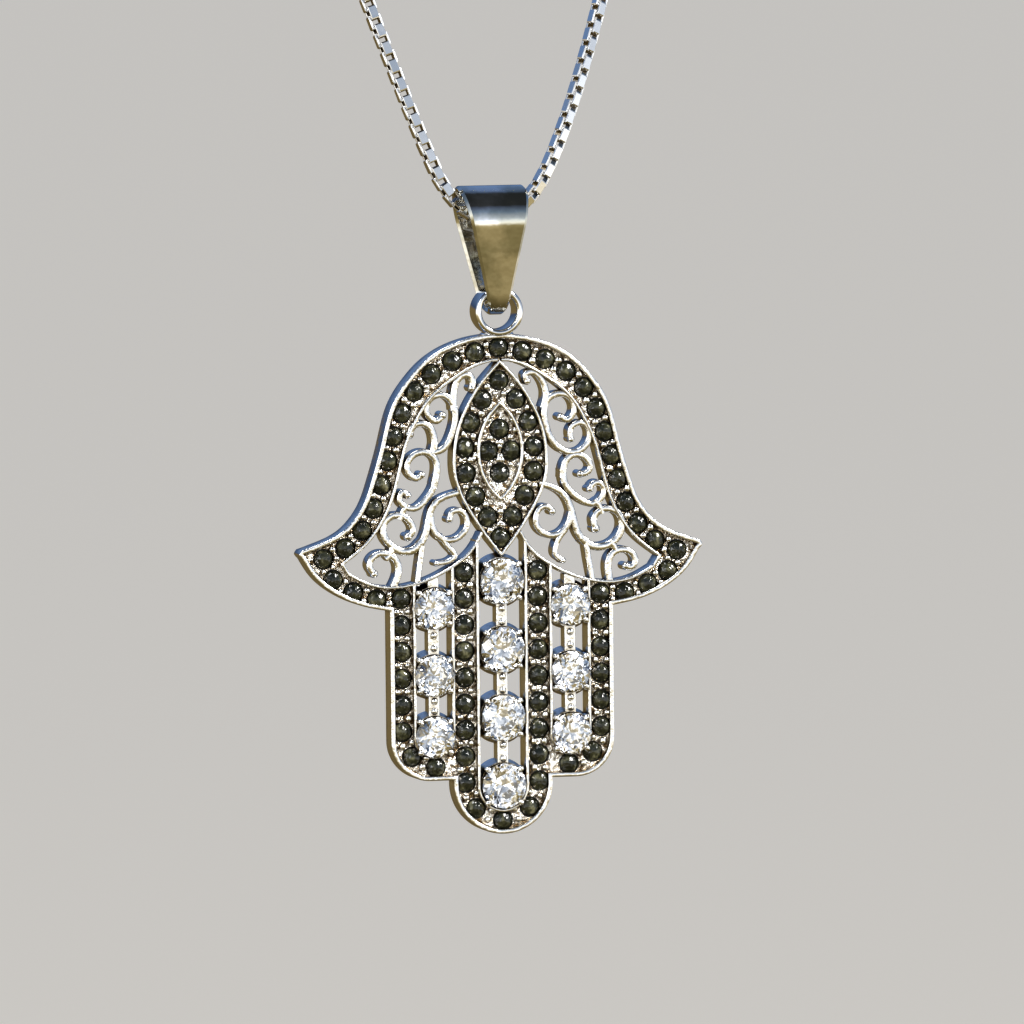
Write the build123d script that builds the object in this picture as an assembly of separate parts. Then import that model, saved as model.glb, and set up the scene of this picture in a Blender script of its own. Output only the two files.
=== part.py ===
from build123d import *
import math
import os

# A cast silver hand pendant (hamsa) on a folded bail and a closed box chain.
# Millimetres. The hand is drawn flat, face up: X across, Y up from the centre of the ring,
# Z from the hand's back towards the viewer. hang() then stands it up, its face towards -Y.

# Depths of the hand, up from its back
HAND_DEPTH = 1.5
CHANNEL_DEPTH = 0.3
SCROLL_BACK = 0.2
SCROLL_FRONT = 1.35
MID_DEPTH = HAND_DEPTH / 2
FLOOR = HAND_DEPTH - CHANNEL_DEPTH

# Rims beside the stone channels
OUTER_RIM = 0.28
INNER_RIM = 0.2
EDGE_STEP = 0.6

# Hand outline, right half, down from the ring
TOP_Y = -1.4
SHOULDER = [(0, TOP_Y), (3.0, -1.93), (4.9, -3.02), (5.92, -4.08), (6.92, -5.6), (7.66, -8.1),
            (8.35, -10.45), (8.9, -11.9), (9.5, -12.8), (10.3, -13.55), (11.9, -14.28),
            (12.85, -14.6)]
SHOULDER_TANGENTS = ((1, 0), (1, -0.3))
THUMB_TIP = (13.0, -14.87)
PALM_FOOT = [(12.8, -15.15), (12.05, -16.3), (10.55, -17.5), (8.9, -18.2), (7.2, -18.55)]
SIDE_FINGER_X = PALM_FOOT[-1][0]
SIDE_FINGER_END_Y = -29.25
SIDE_FINGER_CORNER = 2.5
MIDDLE_FINGER_X = 3.18
MIDDLE_FINGER_CENTRE_Y = -29.52

# Eye of the palm: the right half of its edge, and its pupil, a pointed oval of two arcs
EYE_EDGE = [(0, -3.0), (1.2, -4.3), (2.15, -5.75), (2.8, -7.3), (3.07, -8.9), (3.0, -10.3),
            (2.4, -11.9), (1.62, -13.2), (0.85, -14.3), (0, -15.35)]
PUPIL_TOP_Y = -5.6
PUPIL_FOOT_Y = -11.85
PUPIL_HALF_WIDTH = 1.5

# Finger slots, through the hand, that hold the clear stones
SIDE_SLOT_X = 4.39
SIDE_SLOT_HALF = 1.13
SIDE_SLOT_TOP_Y = -15.6
MIDDLE_SLOT_HALF = 1.45
MIDDLE_SLOT_TOP_Y = -13.6
BAR_WIDTH = 0.72
BAR_BACK = 0.35
BAR_FRONT = 1.4
TOP_BAR = 1.9

# Clear stones
MIDDLE_STONE_R = 1.4
SIDE_STONE_R = 1.27
MIDDLE_STONE_YS = [-16.85 - 4.28 * row for row in range(4)]
SIDE_STONE_YS = [-18.45, -22.65, -26.5]
GIRDLE_Z = 1.62
GIRDLE_THICKNESS = 0.08
CROWN_HEIGHT = 0.36
PAVILION_DEPTH = 0.95
CLEAR_TABLE = 0.56
CLEAR_SIDES = 16
CULET = 0.12
CUP_EXTRA_R = 0.12
CUP_BASE_EXTRA_R = 0.3
CUP_BACK = 0.2
CUP_BASE_FRONT = 0.8
CUP_FRONT = 1.42
PRONG_INSET = 0.02
PRONG_R = 0.19
PRONG_FRONT = 1.86
STONE_GAP = 0.04
SEAT_FOOT = 0.5
SEAT_CONE_DEPTH = 0.62
SEAT_WELL_HEIGHT = 0.8

# Dark stones
DARK_R = 0.59
DARK_SEAT_GAP = 0.05
DARK_SEAT_DEPTH = 0.42
DARK_CROWN = 0.28
DARK_TABLE = 0.5
DARK_SIDES = 8
CUT_ABOVE = 0.5

# Ring soldered on the hand's top edge
RING_R = 1.54
RING_HOLE_R = 1.12
RING_DEPTH = 1.8
RING_EDGE = 0.18

# Bail: a tapered strip folded into a loop
BAIL_TOP_Y = 7.87
BAIL_TOP_R = 2.2
BAIL_FOOT_R = 1.5
BAIL_THICKNESS = 0.35
BAIL_TOP_X = -0.35
BAIL_TOP_HALF = 2.25
BAIL_FOOT_X = -0.12
BAIL_FOOT_HALF = 0.52
BAIL_CORNER = 0.4
BAIL_FOOT_Y = 1.28
BAIL_BEND_Y = BAIL_TOP_Y - BAIL_TOP_R

# Chain: its route from the middle of the bail to the clasp, right half
CHAIN_D = 1.1
CHAIN_LOW_Y = 5.85
CHAIN_LOW_X = -0.3
ARC_SHARE = 0.45
NAPE_BACK = 116.0
NAPE_UP = 165.0
# columns: across, back, up
ROUTE = [
    (2.25, 0.0, 0.0),
    (5.25, 0.7, 6.6),
    (9.5, 3.6, 19.5),
    (17.5, 9.0, 42.0),
    (28.5, 17.5, 74.0),
    (39.0, 30.5, 105.0),
    (47.0, 49.0, 131.0),
    (50.0, 72.0, 149.0),
    (43.0, 94.5, 159.5),
    (26.5, 109.5, 164.0),
    (12.0, 115.0, 165.0),
]
CLASP_LENGTH = 9.0
CLASP_R = 1.3
CLASP_EDGE = 0.4
CLASP_GAP = 0.03
CHAIN_END = (CLASP_LENGTH / 2 + CLASP_GAP, NAPE_BACK, NAPE_UP)

# Scrolls of the palm: name, width at the root, width at the tip, ball radius at the tip (0 for
# none), and the points of the centre line from root to tip (x, y)
LEFT_SCROLLS = [
    ("top_hook", 0.48, 0.44, 0.26,
     [(-2.93, -6.1), (-2.97, -5.4), (-2.85, -4.6), (-2.45, -4.0), (-1.95, -3.95), (-1.72, -4.3),
      (-1.76, -4.75)]),
    ("upper_curl", 0.44, 0.4, 0.26,
     [(-4.45, -8.75), (-3.66, -8.5), (-3.1, -7.6), (-2.85, -6.6), (-3.05, -5.6), (-3.6, -5.15),
      (-4.2, -5.2), (-4.68, -5.7), (-4.6, -6.4), (-4.05, -6.75), (-3.66, -6.42)]),
    ("side_hook", 0.48, 0.42, 0.3,
     [(-4.35, -8.75), (-4.22, -8.2), (-4.27, -7.6), (-4.55, -7.08), (-5.05, -6.88), (-5.55, -7.05),
      (-5.8, -7.55)]),
    ("long_scroll_upper", 0.46, 0.37, 0.24,
     [(-4.25, -10.7), (-4.08, -9.9), (-4.22, -9.05), (-4.85, -8.68), (-5.6, -8.88), (-6.0, -9.55),
      (-5.82, -10.05), (-5.4, -10.32), (-5.05, -10.1)]),
    ("long_scroll_lower", 0.46, 0.37, 0.24,
     [(-4.1, -10.1), (-4.3, -10.9), (-4.85, -11.7), (-5.55, -12.18), (-6.2, -12.0), (-6.5, -11.55),
      (-6.3, -11.15), (-5.95, -11.35)]),
    ("stem", 0.4, 0.48, 0,
     [(-2.7, -11.25), (-3.55, -11.5), (-4.15, -11.85), (-4.6, -12.7), (-4.76, -13.5),
      (-5.1, -14.3), (-5.6, -14.75)]),
    ("big_curl", 0.53, 0.4, 0.28,
     [(-5.1, -14.3), (-5.6, -14.75), (-6.3, -14.85), (-7.0, -14.5), (-7.5, -13.85), (-7.5, -13.1),
      (-7.0, -12.65), (-6.35, -12.62), (-5.8, -13.05), (-5.65, -13.6), (-5.95, -13.95)]),
    ("curl_link", 0.37, 0.37, 0,
     [(-6.0, -11.9), (-6.3, -12.4), (-6.5, -12.85)]),
    ("thumb_hook", 0.48, 0.4, 0.26,
     [(-7.0, -17.15), (-6.66, -16.4), (-6.62, -15.7), (-7.0, -15.12), (-7.65, -14.92),
      (-8.22, -15.15), (-8.46, -15.7), (-8.15, -16.2)]),
    ("thumb_link", 0.4, 0.4, 0,
     [(-7.0, -14.4), (-7.1, -14.95), (-7.4, -15.3)]),
    ("foot_bar", 0.37, 0.37, 0,
     [(-5.05, -14.5), (-5.22, -15.6), (-5.42, -17.0)]),
    ("inner_curl", 0.44, 0.37, 0.24,
     [(-4.5, -12.7), (-4.33, -13.5), (-3.9, -14.05), (-3.3, -14.22), (-2.65, -14.02),
      (-2.22, -13.5), (-2.2, -12.85), (-2.65, -12.38), (-3.15, -12.5), (-3.28, -12.92)]),
    ("leaf", 0.37, 0.33, 0.2,
     [(-3.9, -13.9), (-3.6, -14.35), (-3.25, -14.78), (-2.98, -15.18), (-3.3, -15.5),
      (-3.8, -15.62), (-4.15, -15.65)]),
]
RIGHT_SCROLLS = [
    ("top_hook", 0.46, 0.4, 0.24,
     [(2.8, -6.1), (3.0, -5.4), (2.93, -4.75), (2.65, -4.2), (2.17, -3.85), (1.7, -3.98),
      (1.8, -4.4)]),
    ("upper_curl", 0.44, 0.4, 0.26,
     [(4.6, -8.92), (3.94, -8.7), (3.3, -8.0), (2.95, -7.0), (2.9, -6.1), (3.2, -5.5),
      (3.75, -5.25), (4.3, -5.3), (4.75, -5.8), (4.75, -6.5), (4.35, -6.88), (3.95, -6.7)]),
    ("side_hook", 0.44, 0.35, 0.22,
     [(4.2, -8.85), (5.0, -8.88), (5.55, -8.5), (5.8, -7.8), (5.55, -7.2), (5.0, -7.1),
      (4.58, -7.45), (4.6, -8.1)]),
    ("long_scroll_upper", 0.46, 0.37, 0.24,
     [(4.05, -10.5), (4.12, -9.8), (4.5, -9.2), (5.05, -9.08), (5.6, -9.35), (5.83, -9.85),
      (5.6, -10.22), (5.18, -10.3)]),
    ("long_scroll_lower", 0.46, 0.37, 0.24,
     [(4.06, -9.95), (4.2, -10.9), (4.73, -11.55), (5.35, -12.0), (5.97, -12.18), (6.45, -11.9),
      (6.7, -11.4), (6.5, -10.92), (6.05, -10.9), (5.8, -11.25)]),
    ("stem", 0.4, 0.48, 0,
     [(2.5, -10.85), (3.15, -11.0), (3.75, -11.28), (4.25, -11.75), (4.6, -12.6), (4.85, -13.6),
      (5.25, -14.35), (5.85, -14.8)]),
    ("big_curl", 0.53, 0.4, 0.28,
     [(5.25, -14.35), (5.85, -14.8), (6.5, -14.88), (7.2, -14.65), (7.7, -14.1), (7.85, -13.45),
      (7.6, -12.8), (7.05, -12.52), (6.45, -12.62), (6.05, -13.05), (6.15, -13.75)]),
    ("curl_link", 0.37, 0.37, 0,
     [(6.1, -11.9), (6.4, -12.35), (6.6, -12.8)]),
    ("thumb_hook", 0.48, 0.4, 0.26,
     [(7.05, -17.05), (6.92, -16.2), (7.03, -15.58), (7.4, -15.2), (7.95, -15.1), (8.48, -15.35),
      (8.68, -15.82), (8.45, -16.22), (8.08, -16.15)]),
    ("thumb_link", 0.4, 0.4, 0,
     [(7.15, -14.5), (7.3, -14.85), (7.5, -15.2)]),
    ("foot_bar", 0.37, 0.37, 0,
     [(5.5, -14.5), (5.68, -15.7), (5.92, -16.98)]),
    ("inner_curl", 0.44, 0.37, 0.24,
     [(4.6, -12.6), (4.3, -13.5), (3.85, -13.95), (3.25, -14.1), (2.7, -13.9), (2.35, -13.5),
      (2.28, -12.85), (2.6, -12.35), (3.05, -12.3), (3.35, -12.6)]),
    ("leaf", 0.37, 0.33, 0.2,
     [(4.2, -13.75), (3.85, -14.15), (3.55, -14.75), (3.52, -15.28), (4.0, -15.68)]),
]

# Points of the palm opening's edge, right half, from the top of the shoulder to the eye's foot
PALM_EDGE = [(0.5, -3.12), (1.6, -3.45), (2.8, -4.12), (3.85, -4.85), (4.75, -5.8),
             (5.35, -6.8), (5.85, -7.85), (6.3, -9.3), (6.62, -10.6), (7.08, -12.0),
             (7.8, -13.35), (8.7, -14.45), (10.1, -15.55)]
PALM_ARC = [(9.75, -16.1), (8.6, -16.7), (7.1, -16.98), (5.6, -16.8), (4.5, -16.45),
            (3.3, -15.85), (2.2, -15.05), (1.62, -14.3), (1.2, -13.45)]

# Centre line of the dark stones in the border, right half, and their number along it
BORDER_LINE = [(0.0, -2.25), (3.0, -3.05), (5.45, -4.85), (6.8, -7.65), (7.6, -10.6),
               (8.9, -13.5), (11.4, -15.2)]
BORDER_STEPS = 12
THUMB_STONES = [(10.8, -16.5), (9.5, -17.3), (8.0, -17.8)]
EYE_RING_ENDS = [(0.0, -4.3), (0.0, -14.15)]
EYE_RING_SIDE = [(1.09, -5.49), (1.86, -6.91), (2.24, -8.47), (2.18, -10.05), (1.58, -11.53),
                 (0.8, -12.84)]
PUPIL_STONES = [(0.0, -7.35), (0.75, -8.72), (-0.75, -8.72), (0.0, -10.1)]
OUTER_COLUMN_X = 6.42
OUTER_COLUMN_YS = [-17.8 - 1.67 * row for row in range(6)]
OUTER_COLUMN_END = [(5.82, -27.72), (4.3, -28.42)]
INNER_COLUMN_X = 2.38
INNER_COLUMN_YS = [-16.25 - 1.65 * row for row in range(9)]
INNER_COLUMN_END = [(1.74, -31.08)]
FINGERTIP_STONE = (0.0, -31.85)


def both_sides(points):
    """The points and their mirror images across the hand's middle."""
    return list(points) + [(-x, y) for x, y in points]


def mirrored_face(right_edges):
    """Face inside a right-hand run of edges, from the middle line to it, and its mirror image."""
    left_edges = [edge.mirror(Plane.YZ) for edge in right_edges]
    return make_face(right_edges + left_edges)


def pupil_oval():
    """The pupil: a pointed oval of two arcs."""
    middle = (PUPIL_HALF_WIDTH, (PUPIL_TOP_Y + PUPIL_FOOT_Y) / 2)
    return mirrored_face([ThreePointArc((0, PUPIL_TOP_Y), middle, (0, PUPIL_FOOT_Y))])


def grown(shape, amount):
    """A flat shape grown, or shrunk by a negative amount, with its curved edges as splines."""
    edges = []
    for edge in offset(shape, amount, kind=Kind.ARC).edges():
        if edge.geom_type == GeomType.OFFSET:
            steps = max(4, math.ceil(edge.length / EDGE_STEP))
            edge = Spline(*[edge @ (step / steps) for step in range(steps + 1)])
        edges.append(edge)
    return make_face(edges)


def hand_outline():
    """The hand's outside, thumbs and three fingers."""
    shoulder = Spline(*SHOULDER, tangents=SHOULDER_TANGENTS)
    thumb = ThreePointArc(SHOULDER[-1], THUMB_TIP, PALM_FOOT[0])
    palm_foot = Spline(*PALM_FOOT)
    corner_start = (SIDE_FINGER_X, SIDE_FINGER_END_Y + SIDE_FINGER_CORNER)
    corner_end = (SIDE_FINGER_X - SIDE_FINGER_CORNER, SIDE_FINGER_END_Y)
    side = Line(PALM_FOOT[-1], corner_start)
    corner = RadiusArc(corner_start, corner_end, SIDE_FINGER_CORNER)
    end = Line(corner_end, (MIDDLE_FINGER_X, SIDE_FINGER_END_Y))
    step = Line((MIDDLE_FINGER_X, SIDE_FINGER_END_Y), (MIDDLE_FINGER_X, MIDDLE_FINGER_CENTRE_Y))
    tip = RadiusArc((MIDDLE_FINGER_X, MIDDLE_FINGER_CENTRE_Y),
                    (0, MIDDLE_FINGER_CENTRE_Y - MIDDLE_FINGER_X), MIDDLE_FINGER_X)
    return mirrored_face([shoulder, thumb, palm_foot, side, corner, end, step, tip])


def palm_opening():
    """The palm inside the border, with the finger tops' arc as its foot."""
    top = Line((0, PALM_EDGE[0][1]), PALM_EDGE[0])
    edge = Spline(*PALM_EDGE)
    corner = Line(PALM_EDGE[-1], PALM_ARC[0])
    arc = Spline(*PALM_ARC)
    foot = Line(PALM_ARC[-1], (0, PALM_ARC[-1][1]))
    return mirrored_face([top, edge, corner, arc, foot])


def finger_slot(x, half, top_y, foot_y):
    """Upright slot with a round foot."""
    height = top_y - foot_y
    shape = Pos(x, foot_y + height / 2) * Rectangle(2 * half, height)
    return shape + Pos(x, foot_y) * Circle(half)


def finger_slots():
    """The three slots of the fingers."""
    slots = [finger_slot(0, MIDDLE_SLOT_HALF, MIDDLE_SLOT_TOP_Y, MIDDLE_STONE_YS[-1])]
    for side in (-1, 1):
        slots.append(finger_slot(side * SIDE_SLOT_X, SIDE_SLOT_HALF, SIDE_SLOT_TOP_Y,
                                 SIDE_STONE_YS[-1]))
    return slots


def strand(root_width, tip_width, points):
    """Flat strand along a smooth centre line, its width changing from root to tip."""
    line = Spline(*points)
    steps = 2 * (len(points) - 1)
    left = []
    right = []
    for step in range(steps + 1):
        place = step / steps
        centre = line @ place
        along = line % place
        half = (root_width + (tip_width - root_width) * place) / 2
        normal = Vector(-along.Y, along.X)
        left.append(centre + normal * half)
        right.append(centre - normal * half)
    edges = [Spline(*left), Line(left[-1], right[-1]), Spline(*right), Line(right[0], left[0])]
    return make_face(edges)


def scrolls():
    """All scroll strands of both sides as one flat shape."""
    shape = Sketch()
    for _, root_width, tip_width, ball, points in LEFT_SCROLLS + RIGHT_SCROLLS:
        shape += strand(root_width, tip_width, points)
        if ball:
            shape += Pos(*points[-1]) * Circle(ball)
    return shape


def raised(shape, back, front):
    """A flat shape as a solid between two depths."""
    return Pos(0, 0, back) * extrude(shape, front - back, dir=(0, 0, 1))


def clear_stone_places():
    """Place and girdle radius of each clear stone, by node name."""
    places = {}
    for row, y in enumerate(MIDDLE_STONE_YS):
        places[f"clear_stone_middle_{row + 1}"] = (0.0, y, MIDDLE_STONE_R)
    for label, side in (("left", -1), ("right", 1)):
        for row, y in enumerate(SIDE_STONE_YS):
            places[f"clear_stone_{label}_{row + 1}"] = (side * SIDE_SLOT_X, y, SIDE_STONE_R)
    return places


def cut_stone(radius, girdle_z, crown, pavilion, table_share, sides):
    """Faceted round stone: flat table, sloping crown, thin girdle and pointed pavilion."""
    girdle = RegularPolygon(radius, sides)
    table = RegularPolygon(radius * table_share, sides)
    culet = RegularPolygon(radius * CULET, sides)
    girdle_top = girdle_z + GIRDLE_THICKNESS
    middle = Pos(0, 0, girdle_z) * extrude(girdle, GIRDLE_THICKNESS)
    top = loft([Pos(0, 0, girdle_top) * girdle.face(),
                Pos(0, 0, girdle_top + crown) * table.face()], ruled=True)
    point = loft([Pos(0, 0, girdle_z - pavilion) * culet.face(),
                  Pos(0, 0, girdle_z) * girdle.face()], ruled=True)
    return middle + top + point


def upright(x, y, radius, back, front):
    """Round post between two depths."""
    return Pos(x, y, (back + front) / 2) * Cylinder(radius, front - back)


def cup(x, y, radius):
    """Round cup under a clear stone, wider at its base, with four prongs at its corners."""
    body = upright(x, y, radius + CUP_EXTRA_R, CUP_BACK, CUP_FRONT)
    body += upright(x, y, radius + CUP_BASE_EXTRA_R, CUP_BACK, CUP_BASE_FRONT)
    reach = radius + CUP_EXTRA_R - PRONG_INSET
    for corner in range(4):
        angle = math.radians(45 + 90 * corner)
        spot = (x + reach * math.cos(angle), y + reach * math.sin(angle))
        body += upright(*spot, PRONG_R, FLOOR, PRONG_FRONT)
    return body


def stone_seat(x, y, radius):
    """Room for a clear stone: a cone under its girdle and a short round well above it."""
    foot_r = SEAT_FOOT * radius
    cone = Cone(foot_r, radius + STONE_GAP, SEAT_CONE_DEPTH)
    cone = Pos(x, y, GIRDLE_Z - SEAT_CONE_DEPTH / 2) * cone
    well = upright(x, y, radius + STONE_GAP, GIRDLE_Z, GIRDLE_Z + SEAT_WELL_HEIGHT)
    hole = upright(x, y, foot_r, -CUT_ABOVE, HAND_DEPTH + CUT_ABOVE)
    return [cone, well, hole]


def bars():
    """Bars that join successive cups and tie the first side cups to the palm's arc."""
    pieces = []
    runs = [(0.0, MIDDLE_STONE_YS)]
    for side in (-1, 1):
        runs.append((side * SIDE_SLOT_X, [SIDE_STONE_YS[0] + TOP_BAR] + SIDE_STONE_YS))
    for x, ys in runs:
        for upper, lower in zip(ys, ys[1:]):
            shape = Pos(x, (upper + lower) / 2) * Rectangle(BAR_WIDTH, upper - lower)
            pieces.append(raised(shape, BAR_BACK, BAR_FRONT))
    return pieces


def ring():
    """The soldered ring, its hole facing the viewer, edges eased."""
    band = Circle(RING_R) - Circle(RING_HOLE_R)
    solid = raised(band, MID_DEPTH - RING_DEPTH / 2, MID_DEPTH + RING_DEPTH / 2)
    return fillet(solid.edges(), RING_EDGE)


def border_places():
    """Centres of the dark stones in the hand's border."""
    line = Spline(*BORDER_LINE)
    run = [line @ (step / BORDER_STEPS) for step in range(BORDER_STEPS + 1)]
    upper = [(point.X, point.Y) for point in run]
    return [upper[0]] + both_sides(upper[1:] + THUMB_STONES)


def finger_places():
    """Centres of the dark stones in the fingers, one list for each finger."""
    outer = [(OUTER_COLUMN_X, y) for y in OUTER_COLUMN_YS] + OUTER_COLUMN_END
    inner = [(INNER_COLUMN_X, y) for y in INNER_COLUMN_YS] + INNER_COLUMN_END
    return {
        "finger_stones_left": [(-x, y) for x, y in outer],
        "finger_stones_right": outer,
        "finger_stones_middle": both_sides(inner) + [FINGERTIP_STONE],
    }


def dark_fields():
    """Centres of every dark stone, by node name."""
    fields = {
        "border_stones": border_places(),
        "eye_ring_stones": EYE_RING_ENDS + both_sides(EYE_RING_SIDE),
        "eye_centre_stones": PUPIL_STONES,
    }
    fields.update(finger_places())
    return fields


def dark_stone(x, y):
    """One dark round stone in its seat."""
    pavilion = DARK_SEAT_DEPTH - DARK_SEAT_GAP
    stone = cut_stone(DARK_R, FLOOR, DARK_CROWN, pavilion, DARK_TABLE, DARK_SIDES)
    return Pos(x, y, 0) * stone


def hand_plate():
    """The hand with its stone channels and openings, before scrolls and settings."""
    outline = hand_outline()
    eye = mirrored_face([Spline(*EYE_EDGE)])
    pupil = pupil_oval()
    palm = palm_opening()
    palm_rim = grown(palm, INNER_RIM)
    slots = finger_slots()
    below = -CUT_ABOVE
    above = HAND_DEPTH + CUT_ABOVE
    channel = grown(outline, -OUTER_RIM) - palm_rim - eye
    for slot in slots:
        channel -= grown(slot, INNER_RIM)
    body = raised(outline, 0, HAND_DEPTH) - raised(channel, FLOOR, above)
    body -= raised(palm - eye, below, above)
    for slot in slots:
        body -= raised(slot - palm_rim - eye, below, above)
    body -= raised(grown(eye, -INNER_RIM) - pupil, FLOOR, above)
    body -= raised(grown(pupil, -INNER_RIM), FLOOR, above)
    return body


def dark_seat(x, y):
    """Round seat of a dark stone, open upwards."""
    return upright(x, y, DARK_R + DARK_SEAT_GAP, FLOOR - DARK_SEAT_DEPTH, FLOOR + CUT_ABOVE)


def frame():
    """The whole casting as one solid."""
    places = clear_stone_places().values()
    body = hand_plate() + raised(scrolls(), SCROLL_BACK, SCROLL_FRONT)
    for bar in bars():
        body += bar
    for place in places:
        body += cup(*place)
    body += ring()
    for place in places:
        for cut in stone_seat(*place):
            body -= cut
    for spots in dark_fields().values():
        body -= [dark_seat(x, y) for x, y in spots]
    return body


def bail_loop(inset):
    """Side outline of the bail: two bends joined by their tangents, shrunk by an inset."""
    bends = [(BAIL_BEND_Y, BAIL_TOP_R - inset), (BAIL_FOOT_Y, BAIL_FOOT_R - inset)]
    circles = [Pos(MID_DEPTH, y) * Circle(radius) for y, radius in bends]
    return make_hull(circles[0].edges() + circles[1].edges())


def bail():
    """Tapered strip folded over the chain and through the ring."""
    section = bail_loop(0) - bail_loop(BAIL_THICKNESS)
    side_plane = Plane(origin=(BAIL_TOP_X - BAIL_TOP_HALF, 0, 0), x_dir=(0, 0, 1), z_dir=(-1, 0, 0))
    loop = extrude(side_plane * section, -2 * BAIL_TOP_HALF)
    foot_y = BAIL_FOOT_Y - BAIL_FOOT_R
    front = Polygon(
        (BAIL_TOP_X - BAIL_TOP_HALF, BAIL_TOP_Y), (BAIL_TOP_X + BAIL_TOP_HALF, BAIL_TOP_Y),
        (BAIL_FOOT_X + BAIL_FOOT_HALF, foot_y), (BAIL_FOOT_X - BAIL_FOOT_HALF, foot_y), align=None,
    )
    front = fillet(front.vertices(), BAIL_CORNER)
    reach = BAIL_TOP_R + CUT_ABOVE
    taper = raised(front, MID_DEPTH - reach, MID_DEPTH + reach)
    return loop & taper


def hang(piece):
    """Stand a flat-drawn piece up and hang it from the chain's lowest point."""
    standing = Rot(90, 0, 0) * piece
    return Pos(0, -NAPE_BACK + MID_DEPTH, -NAPE_UP - CHAIN_LOW_Y) * standing


def route_points():
    """The chain's route, from the clasp's left end round the bail to its right end."""
    right = ROUTE + [CHAIN_END]
    left = [(-across, back, up) for across, back, up in reversed(right)]
    points = []
    for across, back, up in left + right:
        shift = CHAIN_LOW_X if up == 0 else 0
        points.append(Vector(across + shift, back - NAPE_BACK, up - NAPE_UP))
    return points


def route_radii(points):
    """Largest tangent arc at each inner point of the route."""
    radii = []
    for before, here, after in zip(points, points[1:], points[2:]):
        turn = math.radians((here - before).get_angle(after - here))
        shorter = min((here - before).length, (after - here).length)
        radii.append(ARC_SHARE * shorter / math.tan(turn / 2))
    return radii


def chain():
    """Plain tube along the chain's route."""
    points = route_points()
    radii = route_radii(points)
    path = FilletPolyline(*points, radius=radii)
    section = Plane(origin=path @ 0, z_dir=path % 0) * Circle(CHAIN_D / 2)
    tube = sweep(section, path=path)
    area = math.pi * CHAIN_D ** 2 / 4
    print("chain radii", [round(radius, 1) for radius in radii])
    print("chain length", round(path.length, 1), "volume", round(tube.volume, 1),
          "section times length", round(area * path.length, 1))
    return tube


def clasp():
    """Plain barrel clasp at the nape, its ends rounded."""
    barrel = Rot(0, 90, 0) * Cylinder(CLASP_R, CLASP_LENGTH)
    return fillet(barrel.edges(), CLASP_EDGE)


def main():
    os.makedirs("parts", exist_ok=True)
    nodes = {"frame": hang(frame()), "bail": hang(bail()), "chain": chain(), "clasp": clasp()}
    for name, (x, y, radius) in clear_stone_places().items():
        stone = cut_stone(radius, GIRDLE_Z, CROWN_HEIGHT, PAVILION_DEPTH, CLEAR_TABLE,
                          CLEAR_SIDES)
        nodes[name] = hang(Pos(x, y, 0) * stone)
    for name, spots in dark_fields().items():
        stones = [hang(dark_stone(x, y)) for x, y in spots]
        nodes[name] = Compound(children=stones)
    for name, shape in nodes.items():
        export_step(shape, f"parts/{name}.step")


main()
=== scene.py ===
import random
from math import asin, ceil, cos, degrees, pi, radians, sin, sqrt

import bpy
import numpy as np
from numpy.linalg import norm, solve
from mathutils import Matrix, Vector, geometry


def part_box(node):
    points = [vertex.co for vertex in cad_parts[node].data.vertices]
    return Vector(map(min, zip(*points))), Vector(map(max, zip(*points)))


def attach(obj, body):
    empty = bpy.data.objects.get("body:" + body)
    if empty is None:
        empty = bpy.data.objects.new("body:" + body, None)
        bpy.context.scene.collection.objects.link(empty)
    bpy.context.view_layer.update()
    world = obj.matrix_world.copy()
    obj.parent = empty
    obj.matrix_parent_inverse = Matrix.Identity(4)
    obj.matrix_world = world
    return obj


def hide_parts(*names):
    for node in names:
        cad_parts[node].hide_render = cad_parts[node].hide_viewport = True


# A silver hand pendant on a folded bail and a box chain. Sizes are in millimetres, on the
# drawing of the hand: X across, Y up from the ring's centre, Z from the hand's back to the viewer.
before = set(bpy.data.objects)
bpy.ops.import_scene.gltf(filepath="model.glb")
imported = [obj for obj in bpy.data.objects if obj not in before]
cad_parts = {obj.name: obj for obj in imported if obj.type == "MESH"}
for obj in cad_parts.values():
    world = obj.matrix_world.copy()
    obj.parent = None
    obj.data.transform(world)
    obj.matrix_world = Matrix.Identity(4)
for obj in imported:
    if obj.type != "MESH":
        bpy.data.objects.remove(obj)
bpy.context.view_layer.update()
MM = 0.001
SEED = 7

# Where the drawing hangs
DRAWING_BACK = -115.25
RING_CENTRE_HEIGHT = -170.85

# Depths of the hand
HAND_DEPTH = 1.5
FLOOR = 1.2
SEAT_FLOOR = 0.86
SEAT_R = 0.66
SCROLL_BACK = 0.2
SCROLL_FRONT = 1.42
SCROLL_CROWN = 0.6
SCROLL_SWELL = 0.8
SCROLL_STEPS = 8
SCROLL_FOOT = 0.08
SCROLL_FOOT_SHARE = 0.9
SCROLL_BALL_RISE = 0.04
MID_DEPTH = HAND_DEPTH / 2

# Rims
OUTER_RIM = 0.28
INNER_RIM = 0.2
RIM_ROUND = 0.08
EYE_OVERLAP = 0.02
PALM_OVERLAP = 0.05
STEP = 0.16

# Hand outline, right half
TOP_Y = -1.4
SHOULDER = [(0, TOP_Y), (3.0, -1.93), (4.9, -3.02), (5.92, -4.08), (6.92, -5.6), (7.66, -8.1),
            (8.35, -10.45), (8.9, -11.9), (9.5, -12.8), (10.3, -13.55), (11.9, -14.28),
            (12.85, -14.6)]
PALM_FOOT = [(12.8, -15.15), (12.05, -16.3), (10.55, -17.5), (8.9, -18.2), (7.2, -18.55)]
THUMB = [SHOULDER[-1], (13.0, -14.87), PALM_FOOT[0]]
SIDE_FINGER_X = 7.2
SIDE_FINGER_END_Y = -29.25
SIDE_FINGER_CORNER = 2.5
MIDDLE_FINGER_X = 3.18
MIDDLE_FINGER_CENTRE_Y = -29.52

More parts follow.
